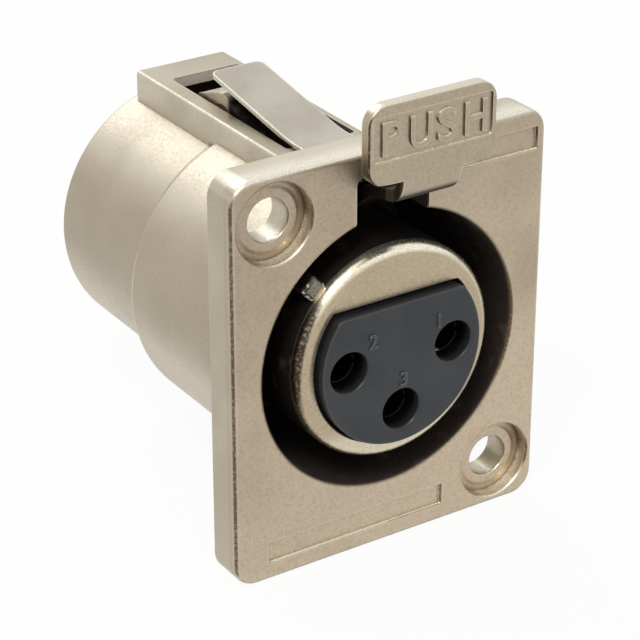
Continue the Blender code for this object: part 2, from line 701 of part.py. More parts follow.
def make_lever(material):
    """Push tab, neck, arm, hook cheeks, pivot ears and tail in one bent strip."""
    tail_end_z = TAIL_CREST_Z - TAIL_END_DROP
    fold = Fold([(TAB_MIDDLE_Y, TAB_TOP), (TAB_MIDDLE_Y, NECK_BEND_Z), (ARM_DROP_Y, ARM_DROP_Z),
                 (ARM_INNER_Y, ARM_INNER_Z), (TAIL_START_Y, ARM_INNER_Z),
                 (TAIL_CREST_Y, TAIL_CREST_Z), (TAIL_END_Y, tail_end_z)], BEND_R)
    lever = bend_strip("latch_lever", lever_outline(fold), SHEET, fold, material)
    outer = ARM_WIDTH / 2 - EPS
    inner = outer - EAR_THICK
    hook_low = ARM_INNER_Z - SHEET / 2 - HOOK_DEPTH
    hook = [(HOOK_FRONT, ARM_INNER_Z), (HOOK_FRONT, ARM_INNER_Z - SHEET / 2),
            (HOOK_REAR - EAR_THICK, hook_low), (HOOK_REAR, hook_low), (HOOK_REAR, ARM_INNER_Z)]
    low = ARM_INNER_Z - SHEET / 4
    ear = [(PIN_Y + EAR_R, low), *arc(PIN_Y, PIN_Z, EAR_R, 0, pi, 10), (PIN_Y - EAR_R, low)]
    for side, place in (("left", -1), ("right", 1)):
        near, far = place * inner, place * outer
        join(lever, loft(f"{side}_hook", [along_x(hook, near), along_x(hook, far)]))
        join(lever, loft(f"{side}_ear", [along_x(ear, near), along_x(ear, far)]))
    eye = circle(PIN_Y, PIN_Z, PIN_R + RUNNING, SMALL_ROUND)
    boolean(lever, loft("ear_holes", [along_x(eye, -ARM_WIDTH), along_x(eye, ARM_WIDTH)]))
    face = TAB_MIDDLE_Y - SHEET / 2
    boolean(lever, box("tab_field", -FIELD_WIDTH / 2, FIELD_WIDTH / 2, face - THROUGH,
                       face + FIELD_DEPTH, FIELD_LOW, FIELD_HIGH))
    return lever


def make_pin(material):
    reach = HOUSING_WIDTH / 2 - PIN_INSET
    small = PIN_R - PIN_INSET
    places = ((small, -reach), (PIN_R, -reach + PIN_INSET), (PIN_R, reach - PIN_INSET), (small, reach))
    sections = [along_x(circle(PIN_Y, PIN_Z, radius, SMALL_ROUND), x) for radius, x in places]
    return loft("latch_pivot_pin", sections, material)


def make_leaf_spring(material):
    """Strip that lies on the roof, then rises through the window's line."""
    middle = SPRING_BOTTOM + SPRING_THICK / 2
    rise = (SPRING_END - SPRING_KINK) * tan(SPRING_SLOPE)
    fold = Fold([(SPRING_START, middle), (SPRING_KINK, middle), (SPRING_END, middle + rise)], BEND_R)
    half = SPRING_WIDTH / 2
    corner = SPRING_CORNER_R
    right = [(half, 0.0)]
    right += arc(half - corner, fold.length - corner, corner, 0, pi / 2, 4)
    outline = right + [(-x, flat) for x, flat in reversed(right)]
    spring = bend_strip("leaf_spring", outline, SPRING_THICK, fold, material)
    hole = circle(0, PIP_Y, PIP_R + 2 * FIT, SMALL_ROUND)
    boolean(spring, loft("spring_hole", [along_z(hole, SPRING_BOTTOM - THROUGH / 2),
                                         along_z(hole, SPRING_TOP + THROUGH)]))
    return spring


def main():
    for item in list(bpy.data.objects):
        bpy.data.objects.remove(item)

    nickel = make_material("satin_nickel_casting", (0.47, 0.38, 0.27), 0.42, 0.85)
    sheet = make_material("nickel_plated_sheet", (0.50, 0.43, 0.33), 0.30, 0.90)
    spring_steel = make_material("spring_steel", (0.55, 0.50, 0.42), 0.28, 1.0)
    moulding = make_material("dark_grey_moulding", (0.045, 0.05, 0.055), 0.45, 0.0)
    black_moulding = make_material("black_moulding", (0.02, 0.02, 0.022), 0.50, 0.0)
    silver = make_material("silver_plated_brass", (0.75, 0.72, 0.66), 0.25, 1.0)

    make_shell(nickel)
    make_sleeve(nickel)
    make_front_insert(moulding)
    make_rear_insert(black_moulding)
    for number, (x, z) in enumerate(CONTACT_PLACES, 1):
        make_contact(number, x, z, silver)
    make_ground_terminal(silver)
    make_retaining_ring(spring_steel)
    make_lever(sheet)
    make_pin(spring_steel)
    make_leaf_spring(spring_steel)


main()
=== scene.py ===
from functools import reduce
from math import cos, pi, radians, sin, tan

import bmesh
import bpy
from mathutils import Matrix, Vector


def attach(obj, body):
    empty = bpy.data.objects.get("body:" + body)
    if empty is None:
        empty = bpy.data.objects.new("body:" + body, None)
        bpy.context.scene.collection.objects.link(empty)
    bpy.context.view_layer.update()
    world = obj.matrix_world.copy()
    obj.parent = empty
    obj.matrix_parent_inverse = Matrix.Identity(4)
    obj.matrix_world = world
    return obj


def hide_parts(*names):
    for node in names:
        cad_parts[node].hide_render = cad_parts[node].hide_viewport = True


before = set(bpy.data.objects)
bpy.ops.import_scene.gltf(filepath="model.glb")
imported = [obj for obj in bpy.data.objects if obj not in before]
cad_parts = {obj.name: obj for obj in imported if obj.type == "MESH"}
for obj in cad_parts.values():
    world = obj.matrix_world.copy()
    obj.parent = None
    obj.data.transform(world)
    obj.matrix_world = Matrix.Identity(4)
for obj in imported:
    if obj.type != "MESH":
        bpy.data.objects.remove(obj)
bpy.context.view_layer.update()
mm = 0.001  # sizes below are in millimetres, in the part's own frame
past = 1.0  # how far a cutter runs past what it cuts
pinPlace = (1.8, 11.005)  # y and z of the latch's pivot
sliver, speckle = 0.002, 0.001  # lengths below which points and edges are merged


class Form(dict):  # user values that are also read as form.name
    __getattr__ = dict.__getitem__


# Selecting, cutting and finishing

def deselect():
    bpy.ops.object.select_all(action="DESELECT")


def pick(item):
    deselect()
    item.select_set(True)
    bpy.context.view_layer.objects.active = item


def startEdit(item, kind="FACE", action="SELECT"):  # with all or nothing selected
    pick(item)
    bpy.ops.object.mode_set(mode="EDIT")
    bpy.ops.mesh.select_mode(type=kind)
    bpy.ops.mesh.select_all(action=action)


def leaveEdit():
    bpy.ops.object.mode_set(mode="OBJECT")


def closeShape():  # turns all faces outwards and leaves edit mode
    bpy.ops.mesh.select_all(action="SELECT")
    bpy.ops.mesh.normals_make_consistent(inside=False)
    leaveEdit()


def newest(name):
    item = bpy.context.object
    item.name = name
    item.data.name = name
    bpy.ops.object.transform_apply(location=True, rotation=True, scale=True)
    return item


def addBlock(name, left, right, front, rear, low, high):
    deselect()
    middle = ((left + right) / 2 * mm, (front + rear) / 2 * mm, (low + high) / 2 * mm)
    bpy.ops.mesh.primitive_cube_add(size=1, location=middle)
    bpy.context.object.scale = ((right - left) * mm, (rear - front) * mm, (high - low) * mm)
    return newest(name)


def addBar(name, half, front, rear, low, high):  # a block that lies evenly about the middle
    return addBlock(name, -half, half, front, rear, low, high)


def addCylinder(name, radius, length, middle, turn, sides):
    deselect()
    bpy.ops.mesh.primitive_cylinder_add(
        vertices=sides, radius=radius * mm, depth=length * mm,
        location=[part * mm for part in middle], rotation=turn)
    return newest(name)


def addRod(name, radius, front, rear, sides, x=0, z=0):
    middle = (x, (front + rear) / 2, z)
    return addCylinder(name, radius, rear - front, middle, (pi / 2, 0, 0), sides)


def addCrossRod(name, radius, left, right, y, z, sides):
    middle = ((left + right) / 2, y, z)
    return addCylinder(name, radius, right - left, middle, (0, pi / 2, 0), sides)


def addPost(name, radius, low, high, y, sides):
    return addCylinder(name, radius, high - low, (0, y, (low + high) / 2), (0, 0, 0), sides)


def turnProfile(name, profile, sides, x=0, z=0):
    # profile is (radius, y) pairs: a filled circle is extruded and resized from one to the next
    deselect()
    radius, place = profile[0]
    bpy.ops.mesh.primitive_circle_add(
        vertices=sides, radius=radius * mm, fill_type="NGON",
        location=(x * mm, place * mm, z * mm), rotation=(pi / 2, 0, 0))
    item = newest(name)
    startEdit(item, "EDGE")
    for nextRadius, nextPlace in profile[1:]:
        bpy.ops.mesh.extrude_edges_move(
            TRANSFORM_OT_translate={"value": (0, (nextPlace - place) * mm, 0)})
        grow = nextRadius / radius
        bpy.ops.transform.resize(value=(grow, 1, grow), center_override=(x * mm, 0, z * mm))
        radius, place = nextRadius, nextPlace
    bpy.ops.mesh.edge_face_add()
    closeShape()
    return item


def mouthProfile(radius, startY, edge, endY, steps=6):
    # a cutter whose mouth has a rounded edge
    profile = [(radius + edge, startY - past)]
    for step in range(steps + 1):
        angle = pi / 2 * step / steps
        profile.append((radius + edge - edge * sin(angle), startY + edge - edge * cos(angle)))
    profile.append((radius, endY))
    return profile


def chooseEdges(item, test):
    # leaves the item in edit mode with the edges that pass the test selected
    startEdit(item, "EDGE", "DESELECT")
    sketch = bmesh.from_edit_mesh(item.data)
    count = 0
    for edge in sketch.edges:
        start, end = edge.verts[0].co / mm, edge.verts[1].co / mm
        bend = edge.calc_face_angle_signed(0) if len(edge.link_faces) == 2 else 0
        if test((start + end) / 2, (end - start).normalized(), bend):
            edge.select_set(True)
            count += 1
    bmesh.update_edit_mesh(item.data)
    return count


def chooseFaces(item, test):
    startEdit(item, "FACE", "DESELECT")
    sketch = bmesh.from_edit_mesh(item.data)
    for face in sketch.faces:
        if test(face.normal):
            face.select_set(True)
    bmesh.update_edit_mesh(item.data)


def shiftSelected(x, y, z):
    bpy.ops.transform.translate(value=(x * mm, y * mm, z * mm))
    leaveEdit()


def extrude(y, z=0):  # carries the selected end face on
    bpy.ops.mesh.extrude_region_move(
        TRANSFORM_OT_translate={"value": (0, y * mm, z * mm)})


def roundEdges(item, test, width, segments=3):
    if chooseEdges(item, test):
        bpy.ops.mesh.bevel(offset=width * mm, offset_type="OFFSET", segments=segments,
                           profile=0.5, affect="EDGES", clamp_overlap=True)
    leaveEdit()
    return item


def combine(target, tool, operation):
    pick(target)
    modifier = target.modifiers.new("combine", "BOOLEAN")
    modifier.operation = operation
    modifier.solver = "EXACT"
    modifier.object = tool
    bpy.ops.object.modifier_apply(modifier=modifier.name)
    bpy.data.objects.remove(tool)


def weld(target, *tools):
    for tool in tools:
        combine(target, tool, "UNION")


def cut(target, *tools):
    for tool in tools:
        combine(target, tool, "DIFFERENCE")


def finishPiece(item, body, node, finish, angle=38):
    # merges slivers, shades by angle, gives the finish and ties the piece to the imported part
    pick(item)
    bpy.ops.object.mode_set(mode="EDIT")
    bpy.ops.mesh.select_all(action="SELECT")
    bpy.ops.mesh.remove_doubles(threshold=sliver * mm)
    bpy.ops.mesh.dissolve_degenerate(threshold=speckle * mm)
    closeShape()
    bpy.ops.object.shade_smooth_by_angle(angle=radians(angle))
    shading = item.modifiers.new("even shading", "WEIGHTED_NORMAL")
    shading.keep_sharp = True
    bpy.ops.object.modifier_apply(modifier=shading.name)
    item.data.materials.append(finish)
    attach(item, body)
    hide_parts(node)
    print("made", item.name, len(item.data.polygons), "faces")


# Tests for edges, told by their middle, their way and the bend between their faces

def near(value, target, room=0.02):
    return abs(value - target) < room


def alongX(way):
    return abs(way.x) > 0.9


def alongY(way):
    return abs(way.y) > 0.99


def alongZ(way):
    return abs(way.z) > 0.9


def across(way):  # an edge that lies across the socket's axis
    return abs(way.y) < 0.1


def lengthways(at, way, bend):
    return alongY(way)


def atDepth(y):
    return lambda at, way, bend: near(at.y, y) and across(way)


# Nodes: they go into the tree on the bench

bench = {}
mottleSize = 0.7  # of the noise that breaks up the painted highlights on the key's edges
forwards = (0, -1, 0)  # the way the socket's face looks


def linear(code):  # sRGB hex to a linear colour
    parts = [int(code[place:place + 2], 16) / 255 for place in (1, 3, 5)]
    return [part / 12.92 if part <= 0.04045 else ((part + 0.055) / 1.055) ** 2.4
            for part in parts] + [1]


def startTree(owner):  # lays the empty node tree of a material or a world on the bench
    owner.use_nodes = True
    bench["tree"] = owner.node_tree
    owner.node_tree.nodes.clear()
    return owner


def addNode(kind, settings, *inputs):
    # one node; each input is a socket with the value or the output it takes
    tree = bench["tree"]
    node = tree.nodes.new("ShaderNode" + kind)
    for name, value in settings.items():
        setattr(node, name, value)
    for socket, value in inputs:
        if isinstance(value, bpy.types.NodeSocket):
            tree.links.new(value, node.inputs[socket])
        else:
            node.inputs[socket].default_value = value
    return node


def addMath(operation, first, second=0.0):
    return addNode("Math", {"operation": operation}, (0, first), (1, second)).outputs[0]


def allOf(*masks):
    return reduce(lambda total, mask: addMath("MULTIPLY", total, mask), masks)


def anyOf(*masks):
    return reduce(lambda total, mask: addMath("MAXIMUM", total, mask), masks)


def under(value, limit):
    return addMath("LESS_THAN", value, limit)


def over(value, limit):
    return addMath("GREATER_THAN", value, limit)


def ramp(value, low, high, start=0.0, end=1.0):
    # goes smoothly from start at low to end at high
    return addNode("MapRange", {"interpolation_type": "SMOOTHSTEP"},
                   (0, value), ("From Min", low), ("From Max", high),
                   ("To Min", start), ("To Max", end)).outputs[0]


def band(value, low, high, soft=0.02):  # 1 where the value lies from low to high
    return allOf(ramp(value, low - soft, low + soft), ramp(value, high + soft, high - soft))


def towards(way, low, high):
    # 1 where the surface turns along the way, a direction fixed on the piece
    facing = addNode("TexCoord", {}).outputs["Normal"]
    turned = addNode("VectorMath", {"operation": "DOT_PRODUCT"},
                     (0, facing), (1, way)).outputs["Value"]
    return ramp(turned, low, high)


def addNoise(place, size, detail=2.0):
    return addNode("TexNoise", {}, ("Vector", place), ("Scale", 1 / size),
                   ("Detail", detail)).outputs[0]


def addBlend(factor, base, cover):
    return addNode("Mix", {"data_type": "RGBA"}, (0, factor), (6, base), (7, cover)).outputs[2]


def openness(reach, inside=False):
    return addNode("AmbientOcclusion", {"samples": 8, "inside": inside},
                   ("Distance", reach * mm)).outputs["AO"]


def radiusFrom(x, z, middleX=0.0, middleZ=0.0):
    offset = addNode("CombineXYZ", {}, (0, addMath("SUBTRACT", x, middleX)),
                     (2, addMath("SUBTRACT", z, middleZ))).outputs[0]
    return addNode("VectorMath", {"operation": "LENGTH"}, (0, offset)).outputs["Value"]


def addRelief(height, depth, strength, normal=None):
    inputs = [("Height", height), ("Distance", depth * mm), ("Strength", strength)]
    if normal:
        inputs.append(("Normal", normal))
    return addNode("Bump", {}, *inputs).outputs[0]


def startMaterial(form):
    # gives the material, the place on the piece in millimetres and the finish's colours
    material = startTree(bpy.data.materials.new(form.name))
    coords = addNode("TexCoord", {})
    place = addNode("VectorMath", {"operation": "SCALE"},
                    (0, coords.outputs["Object"]), ("Scale", 1 / mm)).outputs[0]
    tone = Form((key, linear(code)) for key, code in form.items()
                if str(code).startswith("#"))
    return material, place, tone


def closeMaterial(material, colour, roughness, normal, metallic=0.0):
    skin = addNode("BsdfPrincipled", {}, ("Base Color", colour), ("Roughness", roughness),
                   ("Normal", normal), ("Metallic", metallic))
    addNode("OutputMaterial", {}, ("Surface", skin.outputs[0]))
    return material


def measure(place):  # what the zones go by, in millimetres
    x, y, z = addNode("SeparateXYZ", {}, (0, place)).outputs
    wide, high = addMath("ABSOLUTE", x), addMath("ABSOLUTE", z)
    return Form(x=x, y=y, z=z, wide=wide, high=high, radius=radiusFrom(x, z),
                fromHole=radiusFrom(wide, high, shellForm.holeX, shellForm.holeZ),
                diagonal=allOf(x, z), mottle=addNoise(place, mottleSize))


tests = {"under": under, "over": over, "band": band, "facing": towards}


def readZones(zones, place):
    # a string names zones of which the strongest counts; a list is multiplied out and holds
    # zones, shares and tests; a test is what it goes by and its limits, with its kind in front
    # of them unless it is a ramp
    known = measure(place)

    def find(part):
        if isinstance(part, tuple):
            kind = tests.get(part[0])
            values = [known.get(value, value) for value in (part[1:] if kind else part)]
            return (kind or ramp)(*values)
        return known.get(part, part)

    for name, parts in zones.items():
        known[name] = (anyOf(*[known[part] for part in parts.split()])
                       if isinstance(parts, str) else allOf(*map(find, parts)))
    return known


# Zones of the finishes: where each one is dark, bright, stained or handled

faceSide = ("y", -1.6, -1.9)
plainZones = Form(front=[faceSide])
shellZones = Form(
    front=[faceSide, ("wide", 12.85, 12.55), ("high", 15.35, 15.05)],
    # painted shade inside the plug bore, the latch slot with its chamber, and the rear bore
    bore=[("under", "radius", 10.9), ("under", "y", 12.7)],
    slotTop=[("y", 6.2, 6.4, 12.3, 11.5)],
    slot=[("under", "wide", 3.3), ("under", "y", 24.5), ("over", "z", 8.5),
          ("under", "z", "slotTop")],
    rear=[("under", "radius", 8.98), ("over", "y", 11)],
    inside="bore slot rear",
    deep=["inside", ("y", -2.98, -2.72)],
    # in the counterbores, which lie where x and z differ in sign, the painted shade and
    # highlights keep to the foot
    byHole=[("under", "diagonal", 0)],
    holeFoot=[("y", -2.75, -2.05, 0.25, 0.8), ("fromHole", 1.7, 1.8)],
    footTone=[("byHole", 0, 1, 1, "holeFoot")],
    # walls of the bare strips and counterbores, which take painted shade and painted highlights
    recess=[("wide", 12.5, 12.4), ("high", 15, 14.9),
            ("band", "y", -2.97, -1.8), ("radius", 11.2, 11.4), "footTone"],
    # painted highlights on the window's rear wall, the step's edge and the flange's top
    window=[("band", "y", 22.4, 22.7), ("z", 11.55, 11.65, 0, 0.8),
            ("under", "z", 12.4), ("under", "wide", 3.4)],
    stepEdge=[("band", "y", 13.85, 14.25), ("radius", 10.95, 11.05),
              ("z", 5, 1, 0, 0.5)],
    flangeTop=[("facing", (-0.2, -0.35, 0.92), 0.75, 0.95), ("radius", 11.3, 11.6),
               ("y", -0.1, -0.4), ("y", -0.6, -2.4, 0.2, 0.9)],
    sparkle="window stepEdge flangeTop",
    matt="window",
    # painted shade on the housing's side and roof and on the flange's left side, and a painted
    # shadow behind the step
    sideStain=[("facing", (-0.97, 0, 0.24), 0.86, 0.99), ("y", 0, 0.8),
               ("z", 9.5, 8.5, 0, 0.6)],
    roofStain=[("facing", (0, 0, 1), 0.9, 0.98), ("y", 0, 0.3),
               ("z", 12.3, 12.4, 0, 0.3)],
    stepStain=[("band", "y", 14.2, 14.95, 0.12), ("z", 3.5, 6, 0, 0.8),
               ("radius", 11.2, 11)],
    leftSide=[("facing", (-1, 0, 0), 0.8, 0.95), ("wide", 12.8, 12.9)],
    leftStain=["leftSide", 0.35],
    leftLine=["leftSide", ("band", "y", -2.5, -2.1, 0.35), 0.7],
    stain="sideStain roofStain stepStain leftStain leftLine",
    smudge=[("x", 9, 11.5), ("band", "z", 0, 7, 3)],
    # the painted dark reflection line keeps to the front
    edge=[("y", -1.5, -2)],
)
sleeveZones = Form(
    front=[faceSide],
    # painted shade: the outer wall goes dark quickly behind the rim, and the key's front with it
    wall=[("radius", 7.9, 8.1), ("y", -2.72, -2.6)],
    keyFront=[("radius", 8.32, 8.42)],
    deep="wall keyFront",
    rim=[("y", -2.6, -2.75), ("radius", 7.3, 7.45)],
    # the painted dark reflection line runs round the rim
    edge="rim",
    # painted highlights on the rim's round, its top and its foot, and on the key's edges
    polished=[("y", -2.6, -2.75), ("radius", 7.5, 7.8),
              ("facing", (-0.8, -0.58, -0.15), 0.75, 0.5), 0.45],
    topLeft=["rim", ("facing", (-0.48, -0.5, 0.72), 0.8, 0.97)],
    topRight=["rim", ("facing", (0.05, -0.5, 0.86), 0.72, 0.92)],
    foot=[("z", -4.5, -6.2, 0, 0.45), ("y", -2.9, -3.2)],
    keyEdge=[("radius", 8.3, 8.4), ("y", -1.9, -2.3, 0, 0.9),
             ("facing", forwards, 0.97, 0.8), ("facing", forwards, 0.1, 0.3),
             ("mottle", 0.44, 0.56)],
    sparkle="polished topLeft topRight foot keyEdge",
)
leverZones = Form(
    # painted brown shade on the strip behind the tab, painted highlights on the tail's end and
    # the tab's top
    neckFilm=[("y", -7.3, -6.9, 0, 0.85)],
    armFilm=[("y", -5.7, -5.1)],
    film="neckFilm armFilm",
    deep=["film", ("z", 15.12, 15), ("y", 15.2, 14.6)],
    upwards=[("facing", (-0.1, -0.2, 0.97), 0.6, 0.85)],
    tail=["upwards", ("y", 14.9, 15.3)],
    tabTop=["upwards", ("z", 20.2, 20.6, 0, 0.55)],
    sparkle="tail tabTop",
    front=[faceSide, ("upwards", 1, 0)],
    # the field's walls and the letters take painted shade and painted highlights
    recess=[("wide", 4.95, 4.85), ("band", "z", 16.6, 20.1), ("band", "y", -7.6, -7.3)],
    # painted shade on the tab's left side, stronger towards the bottom
    stain=[("facing", (-1, 0, 0), 0.8, 0.95), ("z", 19, 16, 0, 0.9),
           ("y", -6, -6.5)],
    # the painted dark reflection line runs along the tab's edges
    edge=[("z", 15, 15.4)],
)
contactZones = Form(
    front=[faceSide],
    # painted shade on the contact's front, inside the entry
    deep=[("y", 14, 12)],
    # a painted glint on the first contact, inside its entry
    sparkle=[("x", 3.1, 3.3), ("x", 4.3, 4), ("y", -2.5, -2.7, 0, 0.8)],
)

metalRule = Form(  # ranges of noise or openness that each effect grows over, and its shares
    cloud=(0.36, 0.64), drift=(0.3, 0.7, -5, 5), slant=0.35, slantRange=(-12, 18),
    handled=0.75, speck=(0.42, 0.72), pit=(0.66, 0.78), pale=(0.36, 0.26),
    corner=(0.9, 0.45), film=(0.25, 0.6), filmRough=0.15, gloss=(0.3, 0.7),
    hiddenWay=((-0.9, 0, -0.44), 0.4, 0.8), hidden=(0.3, 0.55, 0.7, 0.95),
    rubbedWay=((-0.5, 0, 0.87), 0.4, 0.75), rubbed=(0.35, 0.6, 0.45, 1), rubbedMetal=0.3,
    deep=(0.35, 0.65), smear=(0.58, 0.72), deepRough=0.3, mattMetal=0.1,
    outer=(0.85, 0.45), wear=(0.3, 0.6, 0.4, 1), sparkle=(0.34, 0.6, 0.55, 1),
    wearSmooth=0.08, line=(0.3, 0.55), waveStrength=0.4,
)


def makeMetal(form, zones=plainZones, rule=metalRule):
    material, place, tone = startMaterial(form)
    zone = readZones(zones, place)
    cloud = addNoise(place, form.cloudSize, 4)
    grain = addNoise(place, form.grainSize, 3)
    fine = addNoise(place, form.fineSize, 1)
    colour = addBlend(ramp(cloud, *rule.cloud), tone.light, tone.dull)
    # warmer where the front has been handled, with a slow drift across it
    slant = addMath("SUBTRACT", zone.z, allOf(zone.x, rule.slant))
    slant = addMath("ADD", slant, ramp(cloud, *rule.drift))
    duller = ramp(slant, *rule.slantRange)
    if "smudge" in zone:
        duller = anyOf(duller, zone.smudge)
    handled = addBlend(duller, tone.front, tone.frontDull)
    colour = addBlend(allOf(zone.front, rule.handled), colour, handled)
    # grain, small dark pits and pale flecks, fainter behind the front
    share = ramp(zone.front, 0, 1, form.backGrain, 1)
    for noise, name, cover in (grain, "speck", "speck"), (fine, "pit", "grime"), (
            fine, "pale", "bare"):
        fleck = allOf(share, ramp(noise, *rule[name], 0, form[name + "Tone"]))
        colour = addBlend(fleck, colour, tone[cover])
    if "stain" in zone:
        colour = addBlend(zone.stain, colour, tone.stain)
    # painted brown shade where surfaces meet, found by openness
    film = allOf(ramp(openness(form.filmReach), *rule.corner),
                 ramp(grain, *rule.film, form.filmTone / 2, form.filmTone))
    colour = addBlend(film, colour, tone.grime)
    roughness = ramp(grain, *rule.gloss, *form.gloss)
    roughness = addMath("ADD", roughness, allOf(film, rule.filmRough))
    wearTone, metallic = form.wearTone, form.metallic
    if "recess" in zone:  # painted shade on the walls that turn left and down, painted highlights on the ledges that face up
        hidden = allOf(zone.recess, towards(*rule.hiddenWay), ramp(grain, *rule.hidden))
        colour = addBlend(hidden, colour, tone.tarnish)
        rubbed = allOf(zone.recess, towards(*rule.rubbedWay), ramp(fine, *rule.rubbed))
        colour = addBlend(rubbed, colour, tone.bare)
        metallic = ramp(rubbed, 0, 1, metallic, rule.rubbedMetal)
    # painted shade in deep places
    if "deep" in zone:
        shaded = zone.deep
        deep = addBlend(ramp(grain, *rule.deep), tone.deep, tone.deepFleck)
        # painted reflections: paler smears over the painted shade
        smear = ramp(addNoise(place, form.smearSize), *rule.smear)
        colour = addBlend(shaded, colour, addBlend(smear, deep, tone.smear))
        roughness = addMath("ADD", roughness, allOf(shaded, rule.deepRough))
        wearTone = ramp(shaded, 0, 1, wearTone, form.wearInDark)
        metallic = ramp(shaded, 0, 1, metallic, form.darkMetal)
    if "matt" in zone:
        metallic = ramp(zone.matt, 0, 1, metallic, rule.mattMetal)
    # bare bright metal along outer edges, partly wear and partly painted highlight, with the
    # zones' painted highlights
    wear = allOf(ramp(openness(form.wearReach, True), *rule.outer),
                 ramp(fine, *rule.wear), wearTone)
    if "sparkle" in zone:
        wear = anyOf(wear, allOf(zone.sparkle, ramp(fine, *rule.sparkle)))
    colour = addBlend(wear, colour, tone.bare)
    roughness = addMath("SUBTRACT", roughness, allOf(wear, rule.wearSmooth))
    if "edge" in zone:  # painted dark reflection: a dark line along the edges that turn to the left front
        line = allOf(zone.edge, towards(form.tarnishWay, *form.tarnishAt),
                     ramp(grain, *rule.line, form.tarnishTone * 0.6, form.tarnishTone))
        colour = addBlend(line, colour, tone.tarnish)
    normal = addRelief(cloud, form.waveDepth, rule.waveStrength)
    normal = addRelief(grain, *form.grainRelief, normal)
    normal = addRelief(fine, *form.fineRelief, normal)
    return closeMaterial(material, colour, roughness, normal, metallic)


plasticRule = Form(
    cloud=(0.35, 0.65), outer=(0.85, 0.4), wear=(0.3, 0.6), gloss=(0.3, 0.7),
    clearOfEntry=1.85, chamferSoft=0.1, chamfer=(0.94, 0.86), lineFrom=(0.998, 0.98),
    lineTo=(0.86, 0.92), waveStrength=0.3, farAway=100.0,
)


def makePlastic(form, entries, rule=plasticRule):
    material, place, tone = startMaterial(form)
    cloud = addNoise(place, form.cloudSize, 3)
    grain = addNoise(place, form.grainSize, 3)
    colour = addBlend(ramp(cloud, *rule.cloud), tone.light, tone.dull)
    x, y, z = addNode("SeparateXYZ", {}, (0, place)).outputs
    nearest = rule.farAway
    for middleX, middleZ in entries:
        nearest = addMath("MINIMUM", nearest, radiusFrom(x, z, middleX, middleZ))
    if "chamfer" in form:  # painted shade on the slope, with a painted highlight line along its inner edge
        rear = form.chamferRear
        onEdge = allOf(over(nearest, rule.clearOfEntry),
                       ramp(y, rear + rule.chamferSoft, rear))
        slope = allOf(onEdge, towards(forwards, *rule.chamfer))
        colour = addBlend(slope, colour, tone.chamfer)
        line = allOf(onEdge, towards(forwards, *rule.lineFrom),
                     towards(forwards, *rule.lineTo), form.lineTone)
        colour = addBlend(line, colour, tone.bare)
    # pale edges: partly wear, partly painted highlight
    wear = allOf(ramp(openness(form.wearReach, True), *rule.outer),
                 ramp(grain, *rule.wear, form.wearTone / 2, form.wearTone))
    colour = addBlend(wear, colour, tone.bare)
    # painted shade inside the entries
    entry = allOf(under(nearest, form.entryReach), ramp(y, *form.deepAt))
    colour = addBlend(entry, colour, tone.deep)
    roughness = ramp(grain, *rule.gloss, *form.gloss)
    normal = addRelief(grain, *form.grainRelief)
    normal = addRelief(cloud, form.waveDepth, rule.waveStrength, normal)
    return closeMaterial(material, colour, roughness, normal)


# Finishes: one dict each, with sizes in millimetres; the metals share what isn't told again

metalBase = Form(
    backGrain=1.0, paleTone=0.15, pitTone=0.2, filmReach=0.3, filmTone=0.7, fineSize=0.12,
    wearTone=0.5, waveDepth=0.03, fineRelief=(0.004, 0.2), metallic=0.95, tarnishTone=0.95,
)
castingFinish = Form(  # satin nickel over a die casting: warm, grainy in front, with painted brown shade in corners
    metalBase, name="satin_nickel_casting", light="#C6BDAA", dull="#BAB19E", speck="#9A8E7A",
    front="#C7B49B", frontDull="#AC9B85", stain="#9A8D79", grime="#54402B", bare="#EFE9DA",
    deep="#302823", deepFleck="#3A312B", smear="#4C443D", darkMetal=0.25, wearInDark=0.04,
    tarnish="#5C4531", tarnishTone=0.92, tarnishWay=(-0.76, -0.64, 0.03),
    tarnishAt=(0.9, 0.985), backGrain=0.3, speckTone=0.28, pitTone=0.3, paleTone=0.2,
    cloudSize=6.0, grainSize=0.22, fineSize=0.13, smearSize=2.2, filmReach=0.45, filmTone=0.6,
    wearReach=0.35, wearTone=0.3, gloss=(0.34, 0.46), waveDepth=0.05,
    grainRelief=(0.03, 0.4), fineRelief=(0.01, 0.3), metallic=0.92,
)
sleeveFinish = Form(  # the same plating, yellower and glossier, with painted highlights on the rim
    metalBase, name="nickel_sleeve_casting", light="#C0B197", dull="#B3A48A", speck="#94846A",
    front="#B9AA90", frontDull="#B5A68C", grime="#4E3A26", bare="#FFF8E2", deep="#1A1512",
    deepFleck="#211A16", smear="#443D38", darkMetal=0.4, wearInDark=0.3, tarnish="#33251A",
    tarnishWay=(-0.86, -0.45, 0.2), tarnishAt=(0.83, 0.93), speckTone=0.24, paleTone=0.18,
    cloudSize=4.0, grainSize=0.24, fineSize=0.13, smearSize=1.8, filmReach=0.4,
    wearReach=0.35, wearTone=0.4, gloss=(0.26, 0.38), waveDepth=0.04,
    grainRelief=(0.02, 0.35), fineRelief=(0.01, 0.3), metallic=0.92,
)
sheetFinish = Form(  # plated sheet: flatter and finer than the casting
    metalBase, name="satin_nickel_sheet", light="#C6BCAA", dull="#BCB19E", speck="#978971",
    front="#AFA089", frontDull="#AB9C85", stain="#453424", grime="#46331F", bare="#F0E8D4",
    deep="#15100C", deepFleck="#241B14", smear="#3D3126", darkMetal=0.9, wearInDark=0.02,
    tarnish="#3A2C1F", tarnishWay=(-0.7, -0.7, -0.1), tarnishAt=(0.8, 0.9), speckTone=0.3,
    cloudSize=5.0, grainSize=0.2, smearSize=0.9, filmReach=0.25, filmTone=0.1,
    wearReach=0.22, gloss=(0.3, 0.42), grainRelief=(0.01, 0.3), fineRelief=(0.006, 0.25),
    metallic=0.94,
)
